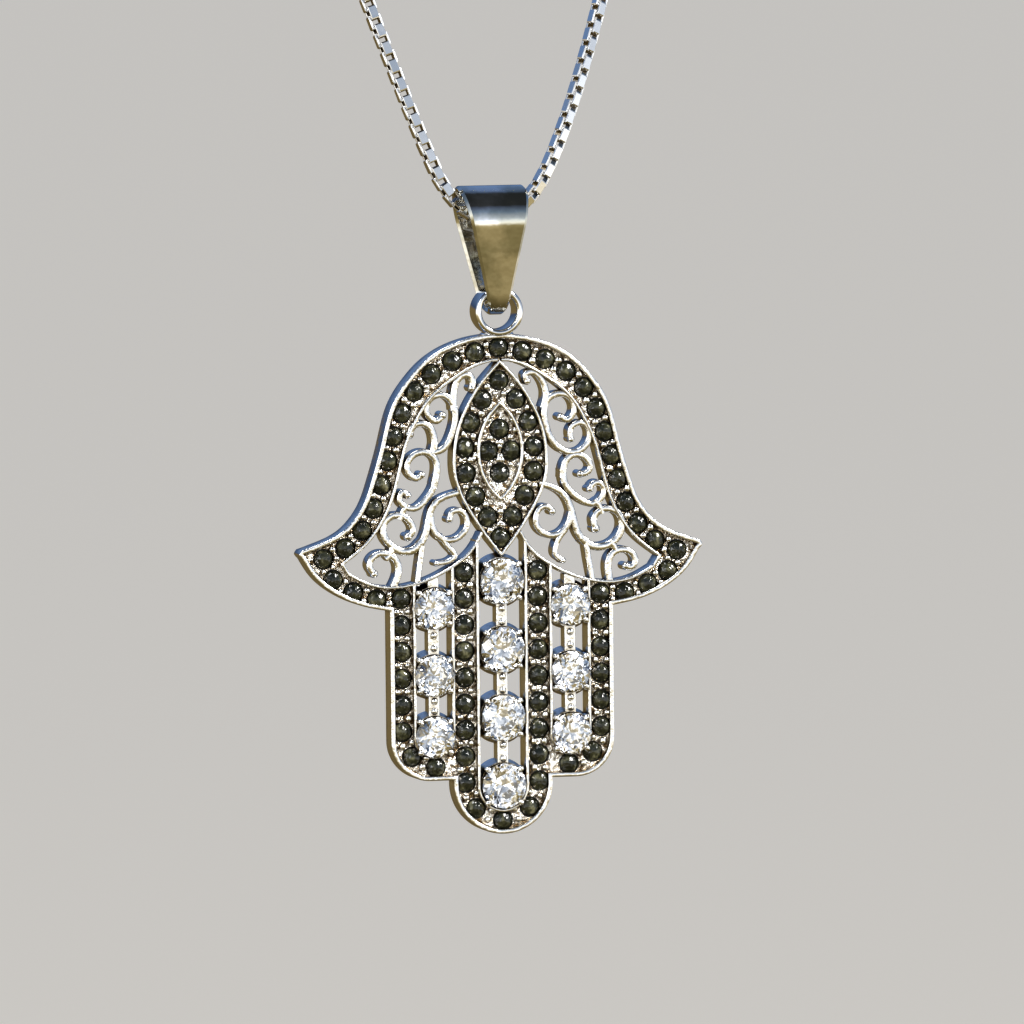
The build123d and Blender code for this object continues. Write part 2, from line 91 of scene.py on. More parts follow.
# Eye of the palm, right half of its edge, and its pupil: top, foot and half width
EYE_EDGE = [(0, -3.0), (1.2, -4.3), (2.15, -5.75), (2.8, -7.3), (3.07, -8.9), (3.0, -10.3),
            (2.4, -11.9), (1.62, -13.2), (0.85, -14.3), (0, -15.35)]
PUPIL = (-5.6, -11.85, 1.5)

# Palm opening, right half
PALM_EDGE = [(0.5, -3.12), (1.6, -3.45), (2.8, -4.12), (3.85, -4.85), (4.75, -5.8),
             (5.35, -6.8), (5.85, -7.85), (6.3, -9.3), (6.62, -10.6), (7.08, -12.0),
             (7.8, -13.35), (8.7, -14.45), (10.1, -15.55)]
PALM_ARC = [(9.75, -16.1), (8.6, -16.7), (7.1, -16.98), (5.6, -16.8), (4.5, -16.45),
            (3.3, -15.85), (2.2, -15.05), (1.62, -14.3), (1.2, -13.45)]

# Finger slots: middle, half width, top and centre of the round foot
SLOTS = [(0.0, 1.45, -13.6, -29.69), (-4.39, 1.13, -15.6, -26.5), (4.39, 1.13, -15.6, -26.5)]
BAR_WIDTH = 0.72
BAR_BACK = 0.35
BAR_FRONT = 1.4
TOP_BAR = 1.9
BAR_GAP = 1.3
BAR_ROUND = 0.09
BAR_BEADS = 2
BAR_BEAD_R = 0.24
BAR_BEAD_RISE = 0.2
BEAD_ROOT = 0.1

# Clear stones
GIRDLE_Z = 1.62
GIRDLE_THICKNESS = 0.06
CROWN_HEIGHT = 0.4
PAVILION_DEPTH = 1.16
TABLE_SHARE = 0.56
GIRDLE_EXTRA = 0.02
CUP_EXTRA_R = 0.12
CUP_BASE_EXTRA_R = 0.3
CUP_BACK = 0.2
CUP_BASE_FRONT = 0.8
CUP_FRONT = 1.4
CUP_HOLE_SHARE = 0.5
CUP_SHOULDER = 1.1
CUP_BEVEL = (0.05, 0.06)
CUP_LIP = 0.02
CUP_SEAT = 0.95
PRONG_R = 0.2
PRONG_FRONT = 1.86
PRONG_ROOT = 0.3
PRONG_INSET = 0.02
PRONG_LEAN = 0.12
PRONG_TIP_R = 0.14
PRONG_TIP_RISE = 0.01

# Lower rows of a clear stone: share of its radius and of its pavilion's height
PAVILION_OUTER = (0.64, 0.6)
PAVILION_INNER = (0.3, 0.27)
PAVILION_UNEVEN = 0.03

# Dark stones
DARK_R = 0.58
DARK_BACK = 0.9
DARK_GIRDLE = 1.2
DARK_CROWN = 0.32
DARK_TILT = 0.06

# Beads between neighbouring dark stones, as ranges
NEIGHBOUR = 2.0
BEAD_SIDE = (0.3, 0.38)
BEAD_R = (0.19, 0.25)
BEAD_RISE = (0.22, 0.3)
BEAD_STRETCH = (0.85, 1.15)

# Ring and bail
RING_R = 1.54
RING_HOLE_R = 1.12
RING_DEPTH = 1.8
RING_ROUND = 0.2
RING_FOOT_R = 1.0
RING_FOOT_DEPTH = 0.78
RING_FOOT_DROP = 0.05
RING_FOOT_SCALE = (1.1, 0.3)
BAIL_TOP_Y = 7.87
BAIL_TOP_R = 2.2
BAIL_FOOT_R = 1.5
BAIL_THICKNESS = 0.35
BAIL_TOP_X = -0.35
BAIL_TOP_HALF = 2.25
BAIL_FOOT_X = -0.12
BAIL_FOOT_HALF = 0.52
BAIL_CORNER = 0.4
BAIL_EDGE = 0.16
BAIL_FOOT_CENTRE_Y = 1.28
BAIL_BEND_Y = BAIL_TOP_Y - BAIL_TOP_R

# Chain: its route from the middle of the bail to the clasp, right half (across, back, up)
ROUTE = [(2.25, 0.0, 0.0), (5.25, 0.7, 6.6), (9.5, 3.6, 19.5), (17.5, 9.0, 42.0),
         (28.5, 17.5, 74.0), (39.0, 30.5, 105.0), (47.0, 49.0, 131.0), (50.0, 72.0, 149.0),
         (43.0, 94.5, 159.5), (26.5, 109.5, 164.0), (12.0, 115.0, 165.0), (4.53, 116.0, 165.0)]
CHAIN_LOW_X = -0.3
NAPE_BACK = 116.0
NAPE_UP = 165.0
LINK_PITCH = 0.6
LINK_LENGTH = 0.9
LINK_SIDE = 0.85
LINK_THICKNESS = 0.15
LINK_STRIP = 0.53
LINK_CORNER = 0.09
LINK_ROUND = 0.035
LINK_LOOK = 0.2
BROAD_SIDES = (3, 7)
LEFT_TWIST = -11
RIGHT_TWIST = 20
TWIST_PLAY = 2.5
TIP_PLAY = 0.03
CLASP_LENGTH = 9.0
CLASP_R = 1.3

# Clasp: distance from its end and radius, and the near half of its middle groove
CLASP_END = [(0.0, 0.55), (0.0, 0.9), (0.15, 1.05), (1.1, 1.1), (1.25, 1.28), (1.4, CLASP_R)]
CLASP_GROOVE = [(-0.35, CLASP_R), (-0.25, 1.2)]

# Scrolls of the palm: width at the root, width at the tip, ball radius at the tip (0 for none),
# and the centre line from root to tip, as points outwards from the middle and down. In order:
# top hook, upper curl, side hook, upper and lower long scroll, stem, big curl, curl link, thumb
# hook, thumb link, foot bar, inner curl and leaf
LEFT_SCROLLS = [
    (0.48, 0.44, 0.26, [(2.93, 6.1), (2.97, 5.4), (2.85, 4.6), (2.45, 4.0), (1.95, 3.95),
     (1.72, 4.3), (1.76, 4.75)]),
    (0.44, 0.4, 0.26, [(4.45, 8.75), (3.66, 8.5), (3.1, 7.6), (2.85, 6.6), (3.05, 5.6), (3.6, 5.15),
     (4.2, 5.2), (4.68, 5.7), (4.6, 6.4), (4.05, 6.75), (3.66, 6.42)]),
    (0.48, 0.42, 0.3, [(4.35, 8.75), (4.22, 8.2), (4.27, 7.6), (4.55, 7.08), (5.05, 6.88),
     (5.55, 7.05), (5.8, 7.55)]),
    (0.46, 0.37, 0.24, [(4.25, 10.7), (4.08, 9.9), (4.22, 9.05), (4.85, 8.68), (5.6, 8.88),
     (6.0, 9.55), (5.82, 10.05), (5.4, 10.32), (5.05, 10.1)]),
    (0.46, 0.37, 0.24, [(4.1, 10.1), (4.3, 10.9), (4.85, 11.7), (5.55, 12.18), (6.2, 12.0),
     (6.5, 11.55), (6.3, 11.15), (5.95, 11.35)]),
    (0.4, 0.48, 0, [(2.7, 11.25), (3.55, 11.5), (4.15, 11.85), (4.6, 12.7), (4.76, 13.5),
     (5.1, 14.3), (5.6, 14.75)]),
    (0.53, 0.4, 0.28, [(5.1, 14.3), (5.6, 14.75), (6.3, 14.85), (7.0, 14.5), (7.5, 13.85),
     (7.5, 13.1), (7.0, 12.65), (6.35, 12.62), (5.8, 13.05), (5.65, 13.6), (5.95, 13.95)]),
    (0.37, 0.37, 0, [(6.0, 11.9), (6.3, 12.4), (6.5, 12.85)]),
    (0.48, 0.4, 0.26, [(7.0, 17.15), (6.66, 16.4), (6.62, 15.7), (7.0, 15.12), (7.65, 14.92),
     (8.22, 15.15), (8.46, 15.7), (8.15, 16.2)]),
    (0.4, 0.4, 0, [(7.0, 14.4), (7.1, 14.95), (7.4, 15.3)]),
    (0.37, 0.37, 0, [(5.05, 14.5), (5.22, 15.6), (5.42, 17.0)]),
    (0.44, 0.37, 0.24, [(4.5, 12.7), (4.33, 13.5), (3.9, 14.05), (3.3, 14.22), (2.65, 14.02),
     (2.22, 13.5), (2.2, 12.85), (2.65, 12.38), (3.15, 12.5), (3.28, 12.92)]),
    (0.37, 0.33, 0.2, [(3.9, 13.9), (3.6, 14.35), (3.25, 14.78), (2.98, 15.18), (3.3, 15.5),
     (3.8, 15.62), (4.15, 15.65)]),
]
RIGHT_SCROLLS = [
    (0.46, 0.4, 0.24, [(2.8, 6.1), (3.0, 5.4), (2.93, 4.75), (2.65, 4.2), (2.17, 3.85), (1.7, 3.98),
     (1.8, 4.4)]),
    (0.44, 0.4, 0.26, [(4.6, 8.92), (3.94, 8.7), (3.3, 8.0), (2.95, 7.0), (2.9, 6.1), (3.2, 5.5),
     (3.75, 5.25), (4.3, 5.3), (4.75, 5.8), (4.75, 6.5), (4.35, 6.88), (3.95, 6.7)]),
    (0.44, 0.35, 0.22, [(4.2, 8.85), (5.0, 8.88), (5.55, 8.5), (5.8, 7.8), (5.55, 7.2), (5.0, 7.1),
     (4.58, 7.45), (4.6, 8.1)]),
    (0.46, 0.37, 0.24, [(4.05, 10.5), (4.12, 9.8), (4.5, 9.2), (5.05, 9.08), (5.6, 9.35),
     (5.83, 9.85), (5.6, 10.22), (5.18, 10.3)]),
    (0.46, 0.37, 0.24, [(4.06, 9.95), (4.2, 10.9), (4.73, 11.55), (5.35, 12.0), (5.97, 12.18),
     (6.45, 11.9), (6.7, 11.4), (6.5, 10.92), (6.05, 10.9), (5.8, 11.25)]),
    (0.4, 0.48, 0, [(2.5, 10.85), (3.15, 11.0), (3.75, 11.28), (4.25, 11.75), (4.6, 12.6),
     (4.85, 13.6), (5.25, 14.35), (5.85, 14.8)]),
    (0.53, 0.4, 0.28, [(5.25, 14.35), (5.85, 14.8), (6.5, 14.88), (7.2, 14.65), (7.7, 14.1),
     (7.85, 13.45), (7.6, 12.8), (7.05, 12.52), (6.45, 12.62), (6.05, 13.05), (6.15, 13.75)]),
    (0.37, 0.37, 0, [(6.1, 11.9), (6.4, 12.35), (6.6, 12.8)]),
    (0.48, 0.4, 0.26, [(7.05, 17.05), (6.92, 16.2), (7.03, 15.58), (7.4, 15.2), (7.95, 15.1),
     (8.48, 15.35), (8.68, 15.82), (8.45, 16.22), (8.08, 16.15)]),
    (0.4, 0.4, 0, [(7.15, 14.5), (7.3, 14.85), (7.5, 15.2)]),
    (0.37, 0.37, 0, [(5.5, 14.5), (5.68, 15.7), (5.92, 16.98)]),
    (0.44, 0.37, 0.24, [(4.6, 12.6), (4.3, 13.5), (3.85, 13.95), (3.25, 14.1), (2.7, 13.9),
     (2.35, 13.5), (2.28, 12.85), (2.6, 12.35), (3.05, 12.3), (3.35, 12.6)]),
    (0.37, 0.33, 0.2, [(4.2, 13.75), (3.85, 14.15), (3.55, 14.75), (3.52, 15.28), (4.0, 15.68)]),
]


# Curves on the drawing

def spline(points, step=STEP, start=None, end=None):
    """Points along a smooth cubic curve through points, about a step apart."""
    points = np.array(points, float)
    count = len(points)
    runs = norm(np.diff(points, axis=0), axis=1)
    knots = np.concatenate([[0], np.cumsum(runs)])
    system = np.zeros((count, count))
    sums = np.zeros((count, points.shape[1]))
    for i in range(1, count - 1):
        before, after = runs[i - 1], runs[i]
        system[i, i - 1:i + 2] = after, 2 * (before + after), before
        sums[i] = 3 * (after * (points[i] - points[i - 1]) / before
                       + before * (points[i + 1] - points[i]) / after)
    for row, tangent, near, far in ((0, start, 0, 1), (count - 1, end, count - 1, count - 2)):
        if tangent is None:
            system[row, near] = 2
            system[row, far] = 1
            low, high = sorted((near, far))
            sums[row] = 3 * (points[high] - points[low]) / runs[low]
        else:
            system[row, near] = 1
            sums[row] = np.array(tangent) / norm(tangent)
    slopes = solve(system, sums)
    places = np.linspace(0, knots[-1], max(2, ceil(knots[-1] / step)) + 1)
    spans = np.clip(np.searchsorted(knots, places, side="right") - 1, 0, count - 2)
    width = runs[spans]
    t = ((places - knots[spans]) / width)[:, None]
    width = width[:, None]
    return ((2 * t ** 3 - 3 * t ** 2 + 1) * points[spans]
            + (t ** 3 - 2 * t ** 2 + t) * width * slopes[spans]
            + (3 * t ** 2 - 2 * t ** 3) * points[spans + 1]
            + (t ** 3 - t ** 2) * width * slopes[spans + 1])


def line(a, b):
    """Points along a straight run."""
    a, b = np.array(a, float), np.array(b, float)
    steps = max(1, ceil(norm(b - a) / STEP))
    return a + (b - a) * np.linspace(0, 1, steps + 1)[:, None]


def arc(centre, radius, start, end, step=STEP):
    """Points along an arc between two angles in degrees."""
    steps = max(3, ceil(abs(radians(end - start)) * radius / step))
    angles = np.radians(np.linspace(start, end, steps + 1))
    return np.array(centre) + radius * np.column_stack([np.cos(angles), np.sin(angles)])


def joined(*runs):
    """Runs of points in one line, without the points that repeat."""
    points = np.concatenate(runs)
    apart = norm(np.diff(points, axis=0), axis=1) > 1e-4
    return points[np.concatenate([[True], apart])]


def closed_half(right):
    """Closed outline from its right half, which runs from the middle line's top to its foot."""
    left = right[::-1] * np.array([-1, 1])
    points = joined(right, left)
    if norm(points[0] - points[-1]) < 1e-4:
        points = points[:-1]
    return points


def hand_outline():
    shoulder = spline(SHOULDER, start=(1, 0), end=(1, -0.3))
    thumb = spline(THUMB, 0.06)
    foot = spline(PALM_FOOT)
    corner_y = SIDE_FINGER_END_Y + SIDE_FINGER_CORNER
    corner_x = SIDE_FINGER_X - SIDE_FINGER_CORNER
    side = line((SIDE_FINGER_X, PALM_FOOT[-1][1]), (SIDE_FINGER_X, corner_y))
    corner = arc((corner_x, corner_y), SIDE_FINGER_CORNER, 0, -90)
    end = line((corner_x, SIDE_FINGER_END_Y), (MIDDLE_FINGER_X, SIDE_FINGER_END_Y))
    tip = arc((0, MIDDLE_FINGER_CENTRE_Y), MIDDLE_FINGER_X, 0, -90)
    return closed_half(joined(shoulder, thumb, foot, side, corner, end, tip))


def palm_opening():
    foot_y = PALM_ARC[-1][1]
    return closed_half(joined(line((0, PALM_EDGE[0][1]), PALM_EDGE[0]), spline(PALM_EDGE),
                              line(PALM_EDGE[-1], PALM_ARC[0]), spline(PALM_ARC),
                              line(PALM_ARC[-1], (0, foot_y))))


def pointed_oval(top, foot, half):
    """Pointed oval of two arcs."""
    reach = (top - foot) / 2
    radius = (reach ** 2 + half ** 2) / (2 * half)
    angle = degrees(asin(reach / radius))
    return closed_half(arc((half - radius, (top + foot) / 2), radius, angle, -angle))


def slot_outline(x, half, top, foot):
    right = joined(line((0, top), (half, top)), line((half, top), (half, foot)),
                   arc((0, foot), half, 0, -90))
    return closed_half(right) + np.array([x, 0])


def side_normals(points, closed):
    """Left normal at each point, lengthened at corners so that the offset stays even."""
    if closed:
        before = points - np.roll(points, 1, axis=0)
        after = np.roll(points, -1, axis=0) - points
    else:
        runs = np.diff(points, axis=0)
        before = np.concatenate([runs[:1], runs])
        after = np.concatenate([runs, runs[-1:]])
    before = before / norm(before, axis=1)[:, None]
    after = after / norm(after, axis=1)[:, None]
    middle = before + after
    middle /= norm(middle, axis=1)[:, None]
    stretch = 1 / np.clip((middle * before).sum(axis=1), 0.6, 1)
    return np.column_stack([-middle[:, 1], middle[:, 0]]) * stretch[:, None]


def grown(points, amount):
    """Closed clockwise outline moved outwards, or inwards by a negative amount."""
    return points + side_normals(points, True) * amount


def inside(points, outline):
    """Whether each point lies inside the closed outline."""
    x, y = points[:, :1], points[:, 1:]
    x0, y0 = outline[:, 0], outline[:, 1]
    x1, y1 = np.roll(x0, -1), np.roll(y0, -1)
    crosses = (y0 > y) != (y1 > y)
    with np.errstate(divide="ignore", invalid="ignore"):
        at = x0 + (y - y0) * (x1 - x0) / (y1 - y0)
    return (crosses & (x < at)).sum(axis=1) % 2 == 1


def runs_outside(points, *outlines):
    """The stretches of a closed line that lie outside all the outlines."""
    hidden = np.zeros(len(points), bool)
    for outline in outlines:
        hidden |= inside(points, outline)
    if not hidden.any():
        return [(points, True)]
    first = int(np.argmax(hidden))
    points, hidden = np.roll(points, -first, axis=0), np.roll(hidden, -first)
    starts = np.flatnonzero(np.diff(hidden)) + 1
    runs = zip(np.split(points, starts), np.split(hidden, starts))
    return [(run, False) for run, skip in runs if not skip[0] and len(run) > 1]


# Meshes

def placed(name, data):
    """New object in the scene."""
    made = bpy.data.objects.new(name, data)
    bpy.context.scene.collection.objects.link(made)
    return made


class Metal:
    """Gathers the vertices and faces of one piece, in drawing millimetres."""

    def __init__(self):
        self.vertices = []
        self.faces = []
        self.kinds = []
        self.count = 0

    def add(self, vertices, faces, kind=0):
        self.vertices.append(np.asarray(vertices, float).reshape(-1, 3))
        self.faces += [tuple(int(i) + self.count for i in face) for face in faces]
        self.kinds += [kind] * len(faces)
        self.count += len(self.vertices[-1])

    def object(self, name, body, paints, world=False, sharp=40):
        points = np.concatenate(self.vertices) * MM
        if not world:
            points = np.column_stack([points[:, 0], DRAWING_BACK * MM - points[:, 2],
                                      points[:, 1] + RING_CENTRE_HEIGHT * MM])
        mesh = bpy.data.meshes.new(name)
        mesh.from_pydata(points.tolist(), [], self.faces)
        for paint in paints:
            mesh.materials.append(paint)
        mesh.polygons.foreach_set("material_index", self.kinds)
        mesh.polygons.foreach_set("use_smooth", [sharp > 0] * len(mesh.polygons))
        mesh.update()
        if sharp > 0:
            mesh.set_sharp_from_angle(angle=radians(sharp))
        made = placed(name, mesh)
        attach(made, body)
        return made


def grid_faces(rings, sides, ring_gaps, side_gaps):
    """Faces of a grid of rings, which closes each way that has as many gaps as lines."""
    faces = []
    for ring in range(ring_gaps):
        following = (ring + 1) % rings
        for side in range(side_gaps):
            beside = (side + 1) % sides
            faces.append((ring * sides + side, ring * sides + beside,
                          following * sides + beside, following * sides + side))
    return faces


def tube_faces(rings, sides, closed):
    """Faces of a tube of rings, and of its ends where it is open."""
    faces = grid_faces(rings, sides, rings if closed else rings - 1, sides)
    if not closed:
        faces.append(tuple(range(sides - 1, -1, -1)))
        faces.append(tuple((rings - 1) * sides + side for side in range(sides)))
    return faces


def flat_sweep(metal, points, closed, profiles):
    """A profile of (offset to the left, depth) pairs swept along a line on the drawing."""
    normals = side_normals(points, closed)
    profiles = np.asarray(profiles, float)
    if profiles.ndim == 2:
        profiles = np.broadcast_to(profiles, (len(points),) + profiles.shape)
    across = points[:, None, :] + normals[:, None, :] * profiles[:, :, :1]
    vertices = np.concatenate([across, profiles[:, :, 1:]], axis=2)
    metal.add(vertices, tube_faces(len(points), profiles.shape[1], closed))


def rounded_box(near, far, back, front, radius, steps=3):
    """Closed profile: a box with rounded corners."""
    corners = [(far - radius, front - radius, 0), (near + radius, front - radius, 90),
               (near + radius, back + radius, 180), (far - radius, back + radius, 270)]
    profile = []
    for x, z, turn in corners:
        for step in range(steps + 1):
            angle = radians(turn + 90 * step / steps)
            profile.append((x + radius * cos(angle), z + radius * sin(angle)))
    return profile


def band(metal, outline, clips, near, far):
    """A full-depth rim beside an outline, left out inside the clips."""
    profile = rounded_box(near, far, 0, HAND_DEPTH, RIM_ROUND)
    for points, closed in runs_outside(outline, *clips):
        flat_sweep(metal, points, closed, profile)


def lathe(metal, x, y, profile, segments=32, closed=False, kind=0, scale=(1, 1)):
    """A profile of (radius, depth) pairs turned round an axis towards the viewer."""
    angles = np.linspace(0, 2 * pi, segments, endpoint=False)
    profile = np.array(profile, float)
    vertices = np.stack([x + scale[0] * profile[None, :, 0] * np.cos(angles)[:, None],
                         y + scale[1] * profile[None, :, 0] * np.sin(angles)[:, None],
                         np.broadcast_to(profile[:, 1], (segments, len(profile)))], axis=2)
    sides = len(profile)
    grid = grid_faces(segments, sides, segments, sides if closed else sides - 1)
    faces = [(a, d, c, b) for a, b, c, d in grid]
    if not closed:
        faces.append([ring * sides for ring in range(segments - 1, -1, -1)])
        faces.append([ring * sides + sides - 1 for ring in range(segments)])
    metal.add(vertices.reshape(-1, 3), faces, kind)


def domed(radius, back, front, steps=5):
    """Profile of a pin with a round head."""
    profile = [(radius, back)]
    for step in range(steps):
        angle = radians(90 * step / steps)
        profile.append((radius * cos(angle), front - radius + radius * sin(angle)))
    profile.append((radius * 0.12, front))
    return profile


# Pieces of the hand

def island_centres(node):
    """Middle of each loose solid of a node, on the drawing."""
    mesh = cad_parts[node].data
    parents = list(range(len(mesh.vertices)))

    def root(i):
        while parents[i] != i:
            parents[i] = parents[parents[i]]
            i = parents[i]
        return i

    places = {}
    same = {}
    for vertex in mesh.vertices:
        key = tuple(round(c / MM, 3) for c in vertex.co)
        first = same.setdefault(key, vertex.index)
        parents[root(vertex.index)] = root(first)
    for a, b in mesh.edge_keys:
        parents[root(a)] = root(b)
    for vertex in mesh.vertices:
        places.setdefault(root(vertex.index), []).append(vertex.co / MM)
    centres = []
    for points in places.values():
        low = np.min(points, axis=0)
        high = np.max(points, axis=0)
        middle = (low + high) / 2
        centres.append((middle[0], middle[2] - RING_CENTRE_HEIGHT))
    return sorted(centres)


def triangulated(shapes):
    """Points and triangles of the drawing, with the closed shapes as edges."""
    points = [Vector(point) for point in np.concatenate(shapes)]
    edges = []
    start = 0
    for shape in shapes:
        count = len(shape)
        edges += [(start + i, start + (i + 1) % count) for i in range(count)]
        start += count
    found, _, triangles, _, _, _ = geometry.delaunay_2d_cdt(points, edges, [], 0, 1e-5)
    return np.array([tuple(v) for v in found]), triangles


def plate_levels(middles, outline, openings, keep, seats):
    """Height of the plate's face at each place: its floor, a seat, or 0 where it is open."""
    solid = inside(middles, outline)
    pierced = np.zeros(len(middles), bool)
    for opening in openings:
        pierced |= inside(middles, opening)
    solid &= ~(pierced & ~inside(middles, keep))
    levels = np.where(solid, FLOOR, 0.0)
    for seat in seats:
        in_seat = norm(middles - np.array(seat), axis=1) < SEAT_R
        levels[in_seat & solid] = SEAT_FLOOR
    return levels


def stepped_plate(metal, outline, openings, keep, seats):
    """Flat plate with through openings, except inside keep, and round seats in its face."""
    shapes = [outline] + openings + [keep]
    shapes += [arc(seat, SEAT_R, 0, 360, 0.2)[:-1] for seat in seats]
    flat, triangles = triangulated(shapes)
    middles = np.array([flat[list(t)].mean(axis=0) for t in triangles])
    levels = plate_levels(middles, outline, openings, keep, seats)
    index = {}
    vertices = []

    def at(i, level):
        key = (i, round(level, 4))
        if key not in index:
            index[key] = len(vertices)
            vertices.append((flat[i][0], flat[i][1], level))
        return index[key]

    faces = {0: [], 1: []}
    beside = {}
    for number, triangle in enumerate(triangles):
        a, b, c = triangle
        area = np.cross(flat[b] - flat[a], flat[c] - flat[a])
        if area < 0:
            a, b, c = a, c, b
        level = levels[number]
        # Seat floors take the second paint: near-black tarnish and painted shade round the dark
        # stones
        kind = 1 if level == SEAT_FLOOR else 0
        if level > 0:
            faces[kind].append([at(i, level) for i in (a, b, c)])
            faces[0].append([at(i, 0.0) for i in (c, b, a)])
        for edge in ((a, b), (b, c), (c, a)):
            beside.setdefault(tuple(sorted(edge)), []).append((edge, level))
    for sides in beside.values():
        sides = sorted(sides, key=lambda side: -side[1])
        (a, b), high = sides[0]
        low = sides[1][1] if len(sides) > 1 else 0.0
        if high > low:
            # A wall that steps down into a seat takes the same tarnish and painted shade
            kind = 1 if low > 0 else 0
            faces[kind].append([at(b, low), at(b, high), at(a, high), at(a, low)][::-1])
    metal.add(vertices, faces[0] + faces[1])
    metal.kinds = [0] * len(faces[0]) + [1] * len(faces[1])


def scroll(metal, root_width, tip_width, ball, points):
    """Round-topped strand, and the ball at its tip."""
    centre = spline(points, 0.1)
    count = len(centre)
    profiles = []
    for place in range(count):
        half = (root_width + (tip_width - root_width) * place / (count - 1)) / 2
        profile = [(-half * SCROLL_FOOT_SHARE, SCROLL_BACK), (-half, SCROLL_BACK + SCROLL_FOOT)]
        shoulder = SCROLL_FRONT - half * SCROLL_CROWN
        for step in range(SCROLL_STEPS + 1):
            angle = radians(180 - 180 * step / SCROLL_STEPS)
            rise = abs(sin(angle)) ** SCROLL_SWELL
            profile.append((half * cos(angle), shoulder + half * SCROLL_CROWN * rise))
        profile += [(half, SCROLL_BACK + SCROLL_FOOT), (half * SCROLL_FOOT_SHARE, SCROLL_BACK)]
        profiles.append(profile)
    flat_sweep(metal, centre, False, profiles)
    if ball:
        lathe(metal, *points[-1], domed(ball, SCROLL_BACK, SCROLL_FRONT + SCROLL_BALL_RISE), 20)


def brilliant(metal, x, y, radius, rng):
    """Round brilliant: table, star, kite and girdle facets above, three rows of them below."""
    eighth = pi / 4
    turn = rng.uniform(0, eighth)
    top = GIRDLE_Z + GIRDLE_THICKNESS
    star_r = (1 + TABLE_SHARE) / 2 / cos(eighth / 2)
    vertices = []

    def ring(count, r, z, shift, uneven=0.0):
        first = len(vertices)
        for i in range(count):
            angle = turn + shift + 2 * pi * i / count
            reach = radius * r * (1 + rng.uniform(-uneven, uneven))
            depth = z + PAVILION_DEPTH * rng.uniform(-uneven, uneven)
            vertices.append((x + reach * cos(angle), y + reach * sin(angle), depth))
        return [first + i for i in range(count)]

    def below(share):
        return GIRDLE_Z - PAVILION_DEPTH * (1 - share)

    table = ring(8, TABLE_SHARE, top + CROWN_HEIGHT, 0)
    star = ring(8, star_r, top + CROWN_HEIGHT / 2, eighth / 2)
    girdle_top = ring(16, 1, top, 0)
    girdle = ring(16, 1, GIRDLE_Z, 0)
    share, height = PAVILION_OUTER
    outer = ring(16, share, below(height), eighth / 4, PAVILION_UNEVEN)
    share, height = PAVILION_INNER
    inner = ring(8, share, below(height), eighth / 2, PAVILION_UNEVEN)
    culet = ring(1, 0, GIRDLE_Z - PAVILION_DEPTH, 0)[0]
    faces = [table]
    for i in range(8):
        after = (i + 1) % 8
        corner, half_way, following = 2 * i, 2 * i + 1, (2 * i + 2) % 16
        faces += [(table[i], star[i], table[after]),
                  (table[i], star[i - 1], girdle_top[corner], star[i]),
                  (star[i], girdle_top[corner], girdle_top[half_way]),
                  (star[i], girdle_top[half_way], girdle_top[following]),
                  (inner[i], outer[half_way], outer[corner]),
                  (inner[i], outer[following], outer[half_way]),
                  (inner[i], inner[after], outer[following]),
                  (culet, inner[after], inner[i])]
    for i in range(16):
        after = (i + 1) % 16
        faces += [(girdle[i], girdle[after], girdle_top[after], girdle_top[i]),
                  (outer[i], girdle[after], girdle[i]),
                  (outer[i], outer[after], girdle[after])]
    metal.add(vertices, faces)


def rose_cut(metal, x, y, tilt, rng):
    """Domed dark stone with three rows of facets."""
    turn = rng.uniform(0, pi)
    rows = [(12, 0.45, DARK_BACK, 0.0), (12, 0.94, DARK_GIRDLE - 0.05, 0.0),
            (12, 1.0, DARK_GIRDLE + 0.02, 0.0), (12, 0.74, DARK_GIRDLE + DARK_CROWN * 0.6, 0.5),
            (6, 0.36, DARK_GIRDLE + DARK_CROWN * 0.9, 0.5), (1, 0.0, DARK_GIRDLE + DARK_CROWN, 0)]
    vertices = []
    rings = []
    for count, share, depth, shift in rows:
        ring = []
        for i in range(count):
            angle = turn + 2 * pi * (i + shift) / count
            dx = DARK_R * share * cos(angle)
            dy = DARK_R * share * sin(angle)
            ring.append(len(vertices))
            vertices.append((x + dx, y + dy, depth + dx * tilt[0] + dy * tilt[1]))
        rings.append(ring)
    faces = [rings[0][::-1]]
    for lower, upper in ((0, 1), (1, 2)):
        for i in range(12):
            after = (i + 1) % 12
            faces.append((rings[lower][i], rings[lower][after],
                          rings[upper][after], rings[upper][i]))
    for i in range(12):
        after = (i + 1) % 12
        faces += [(rings[2][i], rings[2][after], rings[3][i]),
                  (rings[3][i], rings[2][after], rings[3][after])]
    for i in range(6):
        after = (i + 1) % 6
        first, middle, last = rings[3][2 * i], rings[3][2 * i + 1], rings[3][(2 * i + 2) % 12]
        faces += [(first, middle, rings[4][i]), (middle, last, rings[4][i]),
                  (rings[4][i], last, rings[4][after]),
                  (rings[4][i], rings[4][after], rings[5][0])]
    metal.add(vertices, faces)


def channel_beads(metal, places, rng):
    """Small beads raised from the channel floor between neighbouring dark stones."""
    places = [np.array(place) for place in places]
    for i, a in enumerate(places):
        for b in places[i + 1:]:
            apart = norm(b - a)
            if apart > NEIGHBOUR:
                continue
            middle = (a + b) / 2
            across = np.array([-(b - a)[1], (b - a)[0]]) / apart
            for side in (-1, 1):
                spot = middle + across * side * rng.uniform(*BEAD_SIDE)
                size = rng.uniform(*BEAD_R)
                front = FLOOR + rng.uniform(*BEAD_RISE)
                lathe(metal, *spot, domed(size, FLOOR - BEAD_ROOT, front), 14,
                      scale=(rng.uniform(*BEAD_STRETCH), rng.uniform(*BEAD_STRETCH)))


